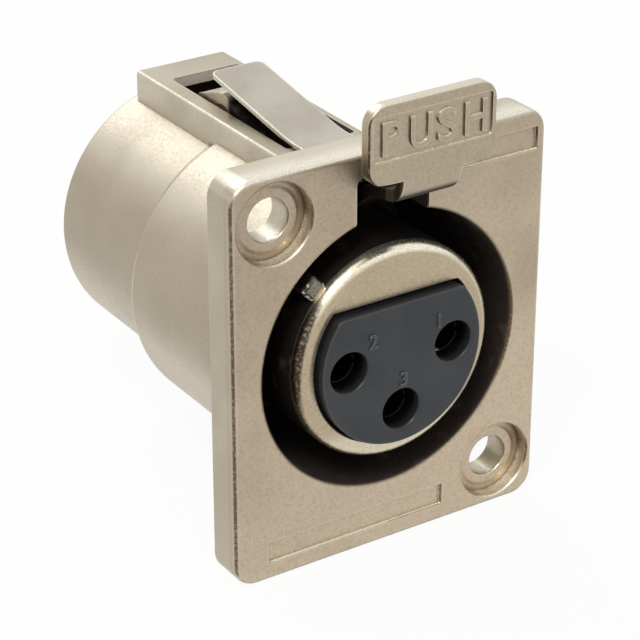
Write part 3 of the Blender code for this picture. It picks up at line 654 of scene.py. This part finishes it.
springFinish = Form(  # rolled spring steel: cooler and smoother, with a painted highlight along its edges
    metalBase, name="rolled_spring_steel", light="#C0B9AB", dull="#B4AD9E", speck="#9D9485",
    front="#B0A99A", frontDull="#B0A99A", grime="#3A3128", bare="#FFFCF4", speckTone=0.12,
    pitTone=0.1, paleTone=0.1, cloudSize=5.0, grainSize=0.26, filmTone=0.6, wearReach=0.3,
    wearTone=1.0, gloss=(0.26, 0.36), grainRelief=(0.008, 0.25),
)
contactFinish = Form(  # plating with painted shade inside the entries, bright tin on the solder cups
    metalBase, name="contact_plating_painted_shade", light="#CFC8B8", dull="#BDB5A4",
    speck="#A1987F", front="#BDB5A4", frontDull="#BDB5A4", grime="#4A3D2C", bare="#EDE8DB",
    deep="#0F0C0A", deepFleck="#1C1612", smear="#2A231C", darkMetal=0.8, wearInDark=0.03,
    speckTone=0.35, pitTone=0.3, cloudSize=3.0, grainSize=0.3, smearSize=0.9,
    wearReach=0.15, gloss=(0.22, 0.36), waveDepth=0.02, grainRelief=(0.006, 0.25),
)
terminalFinish = Form(  # tinned strip: pale grey with a soft crystalline mottle
    metalBase, name="tinned_terminal_strip", light="#C8C6BE", dull="#B4B1A8", speck="#9F9C93",
    front="#B4B1A8", frontDull="#B4B1A8", grime="#4C463C", bare="#EFEEE8", speckTone=0.4,
    pitTone=0.25, paleTone=0.2, cloudSize=1.6, grainSize=0.35, fineSize=0.14,
    wearReach=0.12, gloss=(0.3, 0.46), grainRelief=(0.008, 0.3),
)
insertFinish = Form(  # blue-black moulding with a dull, faintly greyed face
    name="blue_black_moulding", light="#2A2D31", dull="#1F2327", bare="#74818C",
    deep="#060505", chamfer="#0F1418", chamferRear=-3.6, lineTone=0.9, cloudSize=3.5,
    grainSize=0.2, wearReach=0.3, wearTone=0.4, deepAt=(-4.2, -3.3), entryReach=1.62,
    gloss=(0.36, 0.5), grainRelief=(0.01, 0.35), waveDepth=0.04,
)
rearFinish = Form(  # the same resin, left matt
    name="black_rear_moulding", light="#2C2F32", dull="#232629", bare="#4A5056",
    deep="#060505", cloudSize=3.5, grainSize=0.22, wearReach=0.5, wearTone=0.4,
    deepAt=(22.0, 21.0), entryReach=1.4, gloss=(0.42, 0.56), grainRelief=(0.012, 0.4),
    waveDepth=0.04,
)


# Camera at the photograph's place

cameraForm = Form(x=-88.51, y=-128.90, z=80.54, azimuth=-33.245, elevation=26.949,
                  lens=139.27, sensor=36, near=0.001, far=20)


def makeCamera(form):
    deselect()
    bpy.ops.object.camera_add(
        location=(form.x * mm, form.y * mm, form.z * mm),
        rotation=(radians(90 - form.elevation), 0, radians(form.azimuth)))
    camera = bpy.context.object
    camera.name = "photo_camera"
    camera.data.lens = form.lens
    camera.data.sensor_width = form.sensor
    camera.data.clip_start = form.near
    camera.data.clip_end = form.far
    bpy.context.scene.camera = camera


# Shell: one die casting with flange, two drum sections and the latch housing

shellForm = Form(
    halfWidth=13.0, halfHeight=15.5, face=-3.0, cornerRound=1.75, edgeRound=0.4, backEdge=0.12,
    frontDrum=11.3, drumStart=-1.5, shoulderY=14.2, shoulderRound=0.35, flangeFillet=0.35,
    rearDrum=10.35, rearStart=13.2, rearRise=0.45, endY=26.6, endRound=0.5,
    housingHalf=3.9, housingStart=-1.3, housingEnd=25.7, housingLow=5.25, housingTop=12.45,
    housingRound=0.3, bore=10.5, boreMouth=0.45, boreEnd=10.9, webHole=8.45, webEnd=12.2,
    rearBore=8.9, groove=9.4, grooveFront=22.79, grooveRear=23.91,
    slotHalf=3.0, slotRise=2.2, roofInside=12.05, slotLow=8.5, slotRound=0.5,
    # bars are (half width, front, rear, low, high), blocks have left and right instead
    chamber=(3.0, 9.9, 22.6, 9.9, 12.04), nook=(2.7, 21.6, 24.2, 10.0, 11.6),
    window=(-2.5, 3.25, 6.5, 22.6, 11.45, 13.05), windowRound=0.3, windowSoft=0.08,
    clip=(3.1, -0.75, 1.6, 12.07, 13.65), clipRound=0.3, pocket=(2.4, -0.15, 2.6, 12.47, 13.15),
    holeX=9.5, holeZ=12.0, hole=1.6, holeMouth=0.12, counterbore=2.95, counterDepth=1.05,
    counterMouth=0.3, boss=2.3, bossHigh=0.12,
    bossSlope=((0.3, 1), (0.1, 0.7), (0, 0.2), (-0.12, 0)),
    stripDepth=0.25, stripHigh=14.15, stripLow=12.4, stripSoft=0.12,
    topStrip=(4.7, 12.3), bottomStrip=(-10.3, 4.7), pinHole=0.43, sides=144,
)


def makeFlange(form):
    face, high = form.face, form.halfHeight
    flange = addBar("socket_shell", form.halfWidth, face, 0, -high, high)
    roundEdges(flange, lengthways, form.cornerRound, 8)
    roundEdges(flange, atDepth(face), form.edgeRound, 4)
    return roundEdges(flange, atDepth(0), form.backEdge, 2)


def makeSlot(form):
    # slopes down from the face, then runs level into the housing
    slot = addBar("latch_slot", form.slotHalf, form.face - past, 0, form.slotLow,
                  form.roofInside)
    chooseEdges(slot, lambda at, way, bend: at.y < -1 and at.z > 10 and alongX(way))
    shiftSelected(0, 0, form.slotRise)
    chooseFaces(slot, lambda normal: normal.y > 0.9)
    extrude(form.boreEnd)
    leaveEdit()
    return roundEdges(slot, lambda at, way, bend: abs(way.y) > 0.8 and at.z > 10,
                      form.slotRound, 4)


def makeHousing(form):
    top, end = form.housingTop, form.housingEnd
    housing = addBar("latch_housing", form.housingHalf, form.housingStart, end,
                     form.housingLow, top)
    return roundEdges(housing, lambda at, way, bend: at.y > 0 and (
        near(at.z, top) or (near(at.y, end) and at.z > 6)), form.housingRound)


def cutHoles(shell, form):  # fixing holes on one diagonal, each with a low boss round it
    for side in (-1, 1):
        x, z = side * form.holeX, -side * form.holeZ
        foot = form.face + form.counterDepth
        shoulder = foot - form.bossHigh
        profile = mouthProfile(form.counterbore, form.face, form.counterMouth, foot)
        profile += [(form.boss + out, shoulder + rise * form.bossHigh)
                    for out, rise in form.bossSlope]
        hole = mouthProfile(form.hole, shoulder, form.holeMouth, past, 3)
        cut(shell, turnProfile("counterbore", profile, 72, x, z),
            turnProfile("fixing_hole", hole, 56, x, z))


def cutStrips(shell, form):  # left bare, with softened edges
    floor, low, high = form.face + form.stripDepth, form.stripLow, form.stripHigh
    for (left, right), bottom, top in ((form.topStrip, low, high),
                                       (form.bottomStrip, -high, -low)):
        strip = addBlock("bare_strip", left, right, form.face - past, floor, bottom, top)
        roundEdges(strip, lengthways, form.stripSoft)
        roundEdges(strip, atDepth(floor), form.stripSoft)
        cut(shell, strip)


def makeShell(form):
    face, sides, end = form.face, form.sides, form.endY
    boreEnd, webEnd = form.boreEnd, form.webEnd
    shell = makeFlange(form)
    frontDrum = addRod("front_drum", form.frontDrum, form.drumStart, form.shoulderY,
                       sides)
    roundEdges(frontDrum, atDepth(form.shoulderY), form.shoulderRound, 4)
    rearDrum = addRod("rear_drum", form.rearDrum, form.rearStart, end, sides, 0,
                      form.rearRise)
    roundEdges(rearDrum, atDepth(end), form.endRound, 4)
    weld(shell, frontDrum, rearDrum, makeHousing(form))
    roundEdges(shell, lambda at, way, bend: bend < -0.5 and near(at.y, 0) and at.length > 8,
               form.flangeFillet, 4)
    clip = addBar("spring_clip", *form.clip)
    roundEdges(clip, lambda at, way, bend: at.z > 13 and abs(way.x) < 0.5, form.clipRound)
    weld(shell, clip)

    bore = mouthProfile(form.bore, face, form.boreMouth, boreEnd)
    cut(shell, turnProfile("plug_bore", bore, sides), makeSlot(form),
        addRod("web_hole", form.webHole, boreEnd - past, webEnd + past, sides),
        addRod("rear_bore", form.rearBore, webEnd, end + past, sides),
        addRod("ring_groove", form.groove, form.grooveFront, form.grooveRear, sides))
    chamber = addBar("latch_chamber", *form.chamber)
    roundEdges(chamber, lengthways, form.slotRound, 4)
    window = addBlock("roof_window", *form.window)
    roundEdges(window, lambda at, way, bend: alongZ(way), form.windowRound, 4)
    cut(shell, chamber, addBar("chamber_nook", *form.nook), window,
        addBar("spring_pocket", *form.pocket))
    roundEdges(shell, lambda at, way, bend: near(at.z, form.housingTop) and bend > 0.5
               and abs(at.x) < 3 and at.y > 6.3, form.windowSoft, 2)
    cutHoles(shell, form)
    cutStrips(shell, form)
    cut(shell, addCrossRod("pin_hole", form.pinHole, -5, 5, *pinPlace, 32))
    finishPiece(shell, "socket", "shell", makeMetal(castingFinish, shellZones))


# Sleeve round the insert, with its rim, D-shaped hole and key

sleeveForm = Form(
    radius=8.2, front=-3.6, rim=1.0, rimSteps=8, baseFront=12.35, baseRear=13.5, baseRadius=8.7,
    hole=6.78, flat=4.38, holeCorner=1.15, holeEdge=0.18, sides=144,
    key=(0.75, -2.7, 10.7, 7.7, 9.5), keyAngle=135, keyFront=-2.7, keySoft=0.28,
)


def dShape(name, radius, flat, corner, front, rear, sides):
    # a rod cut flat at the top, with the two long corners rounded
    item = addRod(name, radius, front, rear, sides)
    startEdit(item, "EDGE")
    bpy.ops.mesh.bisect(plane_co=(0, 0, flat * mm), plane_no=(0, 0, 1), use_fill=True,
                        clear_outer=True)
    leaveEdit()
    return roundEdges(item, lambda at, way, bend: alongY(way) and near(at.z, flat)
                      and abs(bend) > 0.2, corner, 8)


def makeSleeve(form):
    front, rear, rim, inner = (form.front, form.baseRear, form.rim,
                               form.radius - form.rim)
    profile = []
    for step in range(form.rimSteps + 1):
        angle = pi / 2 * step / form.rimSteps
        profile.append((inner + rim * sin(angle), front + rim - rim * cos(angle)))
    profile += [(form.radius, form.baseFront), (form.baseRadius, form.baseFront),
                (form.baseRadius, rear)]
    sleeve = turnProfile("front_sleeve_casting", profile, form.sides)
    key = addBar("polarising_key", *form.key)
    roundEdges(key, lambda at, way, bend: at.z > 8 and (
        abs(way.y) > 0.9 or near(at.y, form.keyFront)), form.keySoft, 4)
    startEdit(key)
    bpy.ops.transform.rotate(value=radians(form.keyAngle - 90), orient_axis="Y",
                             center_override=(0, 0, 0))
    leaveEdit()
    weld(sleeve, key)
    cut(sleeve, dShape("sleeve_hole", form.hole, form.flat, form.holeCorner,
                       front - past, rear + past, form.sides))
    roundEdges(sleeve, lambda at, way, bend: near(at.y, front) and bend > 0.5 and across(way),
               form.holeEdge)
    finishPiece(sleeve, "socket", "front_sleeve",
                makeMetal(sleeveFinish, sleeveZones))


# Front insert: D-shaped moulding with three numbered entries

insertForm = Form(
    radius=6.65, flat=4.2, corner=1.2, front=-4.4, noseEnd=15.2, edge=0.75, edgeSoft=0.14,
    baseRadius=8.7, baseFront=13.65, baseRear=16.85, baseSoft=0.15, sides=128,
    entries=((4.4, 0.0), (-4.4, 0.0), (0.0, -4.1)), entry=1.52, mouth=0.28, seat=2.1,
    seatFront=15.45, figureHigh=1.15, figureRise=0.11, figureSink=0.1, figureSoft=0.02,
    figurePlaces=(("1", 3.05, 2.05), ("2", -2.5, 1.95), ("3", 0.1, -1.68)),
    groundSlot=(1.25, 12.65, 17.85, 5.95, 6.65), footPocket=(1.25, 12.65, 14.35, 5.95, 8.35),
)


def makeLettering(name, words, x, z, high, wide, front, rear, softness):
    # raised letters that face the front, between the depths front and rear
    deselect()
    bpy.ops.object.text_add(rotation=(pi / 2, 0, 0))
    item = bpy.context.object
    item.data.body = words
    item.data.align_x = "CENTER"
    item.data.align_y = "CENTER"
    item.data.extrude = 0.1
    item.data.resolution_u = 5
    item.data.bevel_depth = softness
    item.data.bevel_resolution = 1
    bpy.ops.object.convert(target="MESH")
    item = newest(name)
    places = [vert.co for vert in item.data.vertices]
    low = Vector([min(place[axis] for place in places) for axis in range(3)])
    size = Vector([max(place[axis] for place in places) for axis in range(3)]) - low
    startEdit(item)
    bpy.ops.mesh.remove_doubles(threshold=0.0001)
    bpy.ops.transform.translate(value=-(low + size / 2))
    scaleZ = high * mm / size.z
    scaleX = wide * mm / size.x if wide else scaleZ
    bpy.ops.transform.resize(value=(scaleX, (rear - front) * mm / size.y, scaleZ),
                             center_override=(0, 0, 0))
    shiftSelected(x, (front + rear) / 2, z)
    return item


def makeFrontInsert(form):
    front, sides, inner = form.front, form.sides, form.front + form.edge
    insert = dShape("front_insert_moulding", form.radius, form.flat, form.corner,
                    front, form.noseEnd, sides)
    roundEdges(insert, atDepth(front), form.edge, 1)
    roundEdges(insert, lambda at, way, bend: (near(at.y, front) or near(at.y, inner))
               and across(way) and bend > 0.3, form.edgeSoft)
    base = addRod("insert_base", form.baseRadius, form.baseFront, form.baseRear, sides)
    roundEdges(base, lambda at, way, bend: across(way), form.baseSoft, 2)
    weld(insert, base)
    for x, z in form.entries:
        profile = mouthProfile(form.entry, front, form.mouth, form.seatFront, 4)
        profile += [(form.seat, form.seatFront), (form.seat, form.baseRear + past)]
        cut(insert, turnProfile("entry", profile, 56, x, z))
    cut(insert, addBar("ground_slot", *form.groundSlot), addBar("foot_pocket", *form.footPocket))
    for words, x, z in form.figurePlaces:
        weld(insert, makeLettering("figure", words, x, z, form.figureHigh, 0,
                                   front - form.figureRise, front + form.figureSink,
                                   form.figureSoft))
    finishPiece(insert, "socket", "insert_front",
                makePlastic(insertFinish, form.entries))


# Contacts, one modelled and two copied

contactForm = Form(
    radius=1.45, socket=1.2, socketMouth=0.12, front=-2.9, lead=0.15, socketEnd=9.1,
    split=(1.85, -3.9, 5.6, -0.175, 0.175), collar=1.95, collarFront=15.6,
    collarRear=18.3, collarSoft=0.1, stem=1.25, stemEnd=24.6, cup=1.35, cupSoft=0.08,
    cupStart=24.8, cupEnd=28.2, cupBore=0.95,
    cupTip=0.2, cupFloor=25.2, cupWall=25.6, cupSide=(1.85, 25.65, 29.2, 0.24, 1.85), sides=56,
)


def makeContacts(form, places):
    front, lead, soft, cupSoft = form.front, form.lead, form.collarSoft, form.cupSoft
    radius, collar, stem, cup = form.radius, form.collar, form.stem, form.cup
    collarFront, collarRear, cupEnd = form.collarFront, form.collarRear, form.cupEnd
    contact = turnProfile("contact_one", [
        (radius - lead, front), (radius, front + lead), (radius, collarFront),
        (collar - soft, collarFront), (collar, collarFront + soft), (collar, collarRear - soft),
        (collar - soft, collarRear), (stem, collarRear), (stem, form.stemEnd),
        (cup, form.cupStart), (cup, cupEnd - cupSoft), (cup - cupSoft, cupEnd)],
        form.sides)
    mouth = mouthProfile(form.socket, front, form.socketMouth, form.socketEnd, 3)
    cupBore = [(form.cupTip, form.cupFloor), (form.cupBore, form.cupWall),
               (form.cupBore, cupEnd + past)]
    cut(contact, turnProfile("pin_socket", mouth, form.sides), addBar("split", *form.split),
        turnProfile("cup_bore", cupBore, form.sides), addBar("cup_side", *form.cupSide))
    copies = [contact]
    plating = makeMetal(contactFinish, contactZones)
    for name in ("contact_two", "contact_three"):
        pick(contact)
        bpy.ops.object.duplicate()
        copies.append(newest(name))
    for number, (item, (x, z)) in enumerate(zip(copies, places), 1):
        startEdit(item)
        shiftSelected(x, 0, z)
        finishPiece(item, "socket", f"contact_{number}", plating, 30)


# Latch lever: the push tab and one bent strip behind it

leverForm = Form(
    sheet=0.85, tabHalf=5.15, tabLow=15.1, tabHigh=20.75, tabFront=-7.5, topCorner=1.4,
    lowCorner=1.25, neckHalf=2.35, neckTop=16.1, armHalf=2.2, tailHalf=2.25, bend=1.7,
    neckZ=13.65, drop=(-3.3, 12.9), innerY=0.6, innerZ=10.105, tailY=8.6, crest=(15.6, 13.216),
    end=(19.0, 12.016), tailStart=8.1, armStart=-6.45, reliefRound=0.45,
    field=(4.8, -8.0, -7.32, 16.75, 19.95), fieldDepth=0.18, fieldSlope=0.1,
    fieldCorner=0.25, fieldSoft=0.06, wordHigh=2.4, wordZ=18.35, wordSink=0.2, wordGap=0.01,
    wordSoft=0.015, letters=(("P", -3.28, 1.62), ("U", -0.98, 1.74), ("S", 1.12, 1.58),
                             ("H", 3.43, 1.8)),
    edgeSoft=0.17, backSoft=0.08, backFrom=-7.2, backTo=-3.4, cheekIn=1.5, cheekOut=2.18,
    hookFront=5.2, hookRear=7.3, hookLow=8.33, hookLean=1.3, ear=0.85, eye=0.46,
)


def bendStrip(corners, radius, steps=9):
    # extrudes the selected end face along a path in the Y-Z plane, with a spun bend per corner
    place = Vector(corners[0])
    for corner, after in zip(corners[1:], corners[2:]):
        corner, after = Vector(corner), Vector(after)
        heading, leaving = (corner - place).normalized(), (after - corner).normalized()
        turn = heading.angle_signed(leaving)  # positive is clockwise, seen with Y right and Z up
        reach = radius * tan(abs(turn) / 2)
        start = corner - heading * reach
        extrude(*(start - place))
        normal = Vector((heading.y, -heading.x)) * (1 if turn > 0 else -1)
        centre = start + normal * radius
        bpy.ops.mesh.spin(steps=steps, angle=turn, center=(0, centre.x * mm, centre.y * mm),
                          axis=(1, 0, 0))
        place = corner + leaving * reach
    extrude(*(Vector(corners[-1]) - place))


def makeStrip(form):
    # one sheet: it narrows behind the first bend, and again along the tail
    front, sheet = form.tabFront, form.sheet
    middle = front + sheet / 2
    strip = addBar("lever_neck", form.neckHalf, front, front + sheet, form.tabLow,
                   form.neckTop)
    chooseFaces(strip, lambda normal: normal.z < -0.9)
    bendStrip([(middle, form.tabLow), (middle, form.neckZ), form.drop,
               (form.innerY, form.innerZ), (form.tailY, form.innerZ),
               form.crest, form.end], form.bend)
    closeShape()
    for point in strip.data.vertices:
        y = point.co.y / mm
        side = 1 if point.co.x > 0 else -1
        if y > form.tailStart:
            point.co.x = side * form.tailHalf * mm
        elif y > form.armStart:
            point.co.x = side * form.armHalf * mm
    return strip


def addCheeks(lever, form):  # on each side a hook and an ear for the pin
    pinY, pinZ = pinPlace
    for side in (-1, 1):
        inner, outer = sorted((side * form.cheekIn, side * form.cheekOut))
        hook = addBlock("hook", inner, outer, form.hookFront, form.hookRear,
                        form.hookLow, form.innerZ)
        chooseEdges(hook, lambda at, way, bend: at.y < 6 and at.z < 9 and alongX(way))
        shiftSelected(0, form.hookLean, 0)
        ear = addCrossRod("ear", form.ear, inner, outer, pinY, pinZ, 40)
        earFoot = addBlock("ear_foot", inner, outer, pinY - form.ear, pinY + form.ear,
                           form.innerZ, pinZ)
        weld(lever, hook, ear, earFoot)
    cut(lever, addCrossRod("ear_eyes", form.eye, -4, 4, pinY, pinZ, 32))


def makeLever(form):
    front, low = form.tabFront, form.tabLow
    lever = addBar("latch_lever_sheet", form.tabHalf, front, front + form.sheet, low,
                   form.tabHigh)
    roundEdges(lever, lambda at, way, bend: alongY(way) and at.z > 18, form.topCorner, 8)
    roundEdges(lever, lambda at, way, bend: alongY(way) and at.z < 18, form.lowCorner, 8)
    weld(lever, makeStrip(form))
    roundEdges(lever, lambda at, way, bend: bend < -0.5 and near(at.z, low, 0.05)
               and near(abs(at.x), form.neckHalf, 0.05) and alongY(way),
               form.reliefRound, 5)
    addCheeks(lever, form)
    roundEdges(lever, lambda at, way, bend: bend > 0.9 and near(at.y, front) and at.z > low,
               form.edgeSoft)
    roundEdges(lever, lambda at, way, bend: bend > 0.9
               and form.backFrom < at.y < form.backTo, form.backSoft, 2)
    floor = front + form.fieldDepth
    field = addBar("tab_field", *form.field)
    chooseEdges(field, lambda at, way, bend: near(at.y, floor) and at.z < 17 and alongX(way))
    shiftSelected(0, 0, form.fieldSlope)
    roundEdges(field, lambda at, way, bend: abs(way.y) > 0.8, form.fieldCorner)
    roundEdges(field, atDepth(floor), form.fieldSoft, 2)
    cut(lever, field)
    for letter, x, wide in form.letters:
        weld(lever, makeLettering("tab_letter", letter, x, form.wordZ, form.wordHigh, wide,
                                  front + form.wordGap, floor + form.wordSink,
                                  form.wordSoft))
    finishPiece(lever, "latch", "latch_lever", makeMetal(sheetFinish, leverZones))


# Leaf spring: lies on the roof and rises over the window

springForm = Form(
    half=2.2, thick=0.4, startY=0.2, firstY=0.7, kinkY=6.8, endY=17.5, bottom=12.5, slope=9.3,
    bend=14.0, corner=0.6, edgeSoft=0.07, pipY=3.3, pipHole=0.8,
)


def makeSpring(form, steel):
    first, kink, end = form.firstY, form.kinkY, form.endY
    middle = form.bottom + form.thick / 2
    spring = addBar("leaf_spring_strip", form.half, form.startY, first, form.bottom,
                    form.bottom + form.thick)
    chooseFaces(spring, lambda normal: normal.y > 0.9)
    rise = (end - kink) * tan(radians(form.slope))
    bendStrip([(first, middle), (kink, middle), (end, middle + rise)], form.bend, 10)
    leaveEdit()
    roundEdges(spring, lambda at, way, bend: at.y > 17 and alongZ(way) and abs(at.x) > 2,
               form.corner, 6)
    roundEdges(spring, lambda at, way, bend: bend > 0.9, form.edgeSoft, 2)
    cut(spring, addPost("spring_hole", form.pipHole, 12, 14, form.pipY, 32))
    finishPiece(spring, "spring", "leaf_spring", steel)


# Pieces behind: rear insert, ground terminal, retaining ring and pivot pin

rearForm = Form(
    radius=8.7, front=17.05, rear=22.65, edge=0.3, seat=2.1, seatRear=18.45, stemHole=1.4,
    stemMouth=0.2, slot=(1.25, 16.05, 23.65, 5.95, 6.65), sides=128, figureHigh=1.5,
    figureRise=0.12, figureSink=0.1, figureSoft=0.02,
    figurePlaces=(("1", 4.4, 2.8), ("2", -4.4, 2.8), ("3", 2.6, -4.3)),
)


def makeRearInsert(form, entries):
    front, rear, seatRear, mouth = form.front, form.rear, form.seatRear, form.stemMouth
    seat, stem = form.seat, form.stemHole
    insert = addRod("rear_insert_moulding", form.radius, front, rear, form.sides)
    roundEdges(insert, lambda at, way, bend: across(way), form.edge)
    for x, z in entries:
        cut(insert, turnProfile("stem_hole", [
            (seat, front - past), (seat, seatRear), (stem, seatRear), (stem, rear - mouth),
            (stem + mouth, rear), (stem + mouth, rear + past)], 48, x, z))
    cut(insert, addBar("ground_slot", *form.slot))
    for words, x, z in form.figurePlaces:
        figure = makeLettering("rear_figure", words, -x, z, form.figureHigh, 0,
                               -rear - form.figureRise, -rear + form.figureSink,
                               form.figureSoft)
        startEdit(figure)
        bpy.ops.transform.rotate(value=pi, orient_axis="Z", center_override=(0, 0, 0))
        leaveEdit()
        weld(insert, figure)
    finishPiece(insert, "socket", "insert_rear",
                makePlastic(rearFinish, entries))


terminalForm = Form(
    strip=(1.1, 13.8, 23.1, 6.1, 6.5), foot=(1.08, 13.8, 14.2, 6.12, 8.2),
    lug=(1.4, 22.8, 27.8, 6.1, 6.5), lugRound=1.39, lugCorner=0.28, eye=0.7, eyeY=26.4,
    edgeSoft=0.05,
)


def makeTerminal(form):
    terminal = addBar("ground_terminal_strip", *form.strip)
    lug = addBar("solder_lug", *form.lug)
    roundEdges(lug, lambda at, way, bend: alongZ(way) and at.y > 25, form.lugRound, 10)
    roundEdges(lug, lambda at, way, bend: alongZ(way) and at.y < 25, form.lugCorner, 4)
    weld(terminal, lug, addBar("terminal_foot", *form.foot))
    cut(terminal, addPost("lug_eye", form.eye, 5, 8, form.eyeY, 40))
    roundEdges(terminal, lambda at, way, bend: bend > 0.9 and at.y > 23, form.edgeSoft, 2)
    finishPiece(terminal, "socket", "ground_terminal",
                makeMetal(terminalFinish), 30)


ringForm = Form(
    outer=9.25, inner=7.45, front=22.85, rear=23.85, gap=50, lug=1.0, lugPlace=7.7,
    lugInset=0.02, eye=0.45, soft=0.12, steps=120,
)


def makeRing(form, steel):
    # a square section spun round the axis, open at the bottom, with an eye at each end
    inner, outer, front, rear = form.inner, form.outer, form.front, form.rear
    gap, place = radians(form.gap), form.lugPlace
    deselect()
    bpy.ops.mesh.primitive_plane_add(
        size=1, location=((inner + outer) / 2 * mm, (front + rear) / 2 * mm, 0))
    bpy.context.object.scale = ((outer - inner) * mm, (rear - front) * mm, 1)
    ring = newest("retaining_ring_wire")
    startEdit(ring)
    bpy.ops.transform.rotate(value=-(pi / 2 - gap / 2), orient_axis="Y",
                             center_override=(0, 0, 0))
    bpy.ops.mesh.spin(steps=form.steps, angle=2 * pi - gap, center=(0, 0, 0), axis=(0, -1, 0))
    closeShape()
    eyes = []
    for side in (-1, 1):
        angle = -pi / 2 + side * (gap / 2 + form.lug / place)
        x, z = place * cos(angle), place * sin(angle)
        weld(ring, addRod("ring_lug", form.lug, front + form.lugInset,
                          rear - form.lugInset, 40, x, z))
        eyes.append((x, z))
    for x, z in eyes:
        cut(ring, addRod("ring_eye", form.eye, front - past, rear + past, 32, x, z))
    roundEdges(ring, lambda at, way, bend: bend > 0.9 and abs(way.y) < 0.5
               and (near(at.y, front) or near(at.y, rear)), form.soft)
    finishPiece(ring, "socket", "retaining_ring", steel)


pinForm = Form(radius=0.4, reach=3.8, soft=0.1)


def makePin(form, steel):
    reach = form.reach
    pin = addCrossRod("latch_pin", form.radius, -reach, reach, *pinPlace, 40)
    roundEdges(pin, lambda at, way, bend: near(abs(at.x), reach), form.soft)
    finishPiece(pin, "socket", "latch_pivot_pin", steel)


# Floor, backdrop and light

stageForm = Form(
    floorSize=2.0, floorZ=-15.52, floorColour="#F2F1EE", whiteShare=0.93, sky=0.55,
    skyColour="#FFFFFF",
)
lampForm = Form(  # place in millimetres, side in millimetres, power in watts
    back_top_lamp=((-10, 470, 400), 440, 0.85, "#F6F9FF"),
    top_left_front_lamp=((-330, -280, 560), 240, 2.3, "#FFFBF2"),
)


def seenRays():  # 1 for what the camera sees, straight or in a reflection
    path = addNode("LightPath", {}).outputs
    return anyOf(path["Is Camera Ray"], path["Is Glossy Ray"], path["Is Transmission Ray"])


def makeStage(form):
    deselect()
    bpy.ops.mesh.primitive_plane_add(size=form.floorSize,
                                     location=(0, 0, form.floorZ * mm))
    floor = newest("pale_floor")
    # white paper that keeps soft shadows
    material = startTree(bpy.data.materials.new("pale_paper_floor"))
    paper = addNode("BsdfDiffuse", {}, ("Color", linear(form.floorColour))).outputs[0]
    glow = addNode("Emission", {}, ("Color", (1, 1, 1, 1)), ("Strength", 1.0)).outputs[0]
    share = allOf(seenRays(), form.whiteShare)
    mixed = addNode("MixShader", {}, (0, share), (1, paper), (2, glow)).outputs[0]
    addNode("OutputMaterial", {}, ("Surface", mixed))
    floor.data.materials.append(material)


def makeSky(form):
    bpy.context.scene.world = startTree(bpy.data.worlds.new("white_backdrop"))
    strength = ramp(seenRays(), 0, 1, form.sky, 1)
    backdrop = addNode("Background", {}, ("Color", linear(form.skyColour)),
                       ("Strength", strength)).outputs[0]
    addNode("OutputWorld", {}, ("Surface", backdrop))


def makeLamps(lamps):
    for name, (place, side, power, colour) in lamps.items():
        deselect()
        bpy.ops.object.light_add(type="AREA", location=[part * mm for part in place])
        lamp = bpy.context.object
        lamp.name = name
        lamp.rotation_euler = Vector(place).to_track_quat("Z", "Y").to_euler()
        lamp.data.shape = "DISK"
        lamp.data.size = side * mm
        lamp.data.energy = power
        lamp.data.color = linear(colour)[:3]


makeCamera(cameraForm)
steelFinish = makeMetal(springFinish)
makeShell(shellForm)
makeSleeve(sleeveForm)
print("casting and sleeve are ready")
makeFrontInsert(insertForm)
makeContacts(contactForm, insertForm["entries"])
print("insert and contacts are ready")
makeLever(leverForm)
makeSpring(springForm, steelFinish)
print("latch is ready")
makeRearInsert(rearForm, insertForm["entries"])
makeTerminal(terminalForm)
makeRing(ringForm, steelFinish)
makePin(pinForm, steelFinish)
print("rear pieces are ready")
makeStage(stageForm)
makeSky(stageForm)
makeLamps(lampForm)
bpy.context.scene.view_settings.view_transform = "Standard"
print("stage and light are ready")
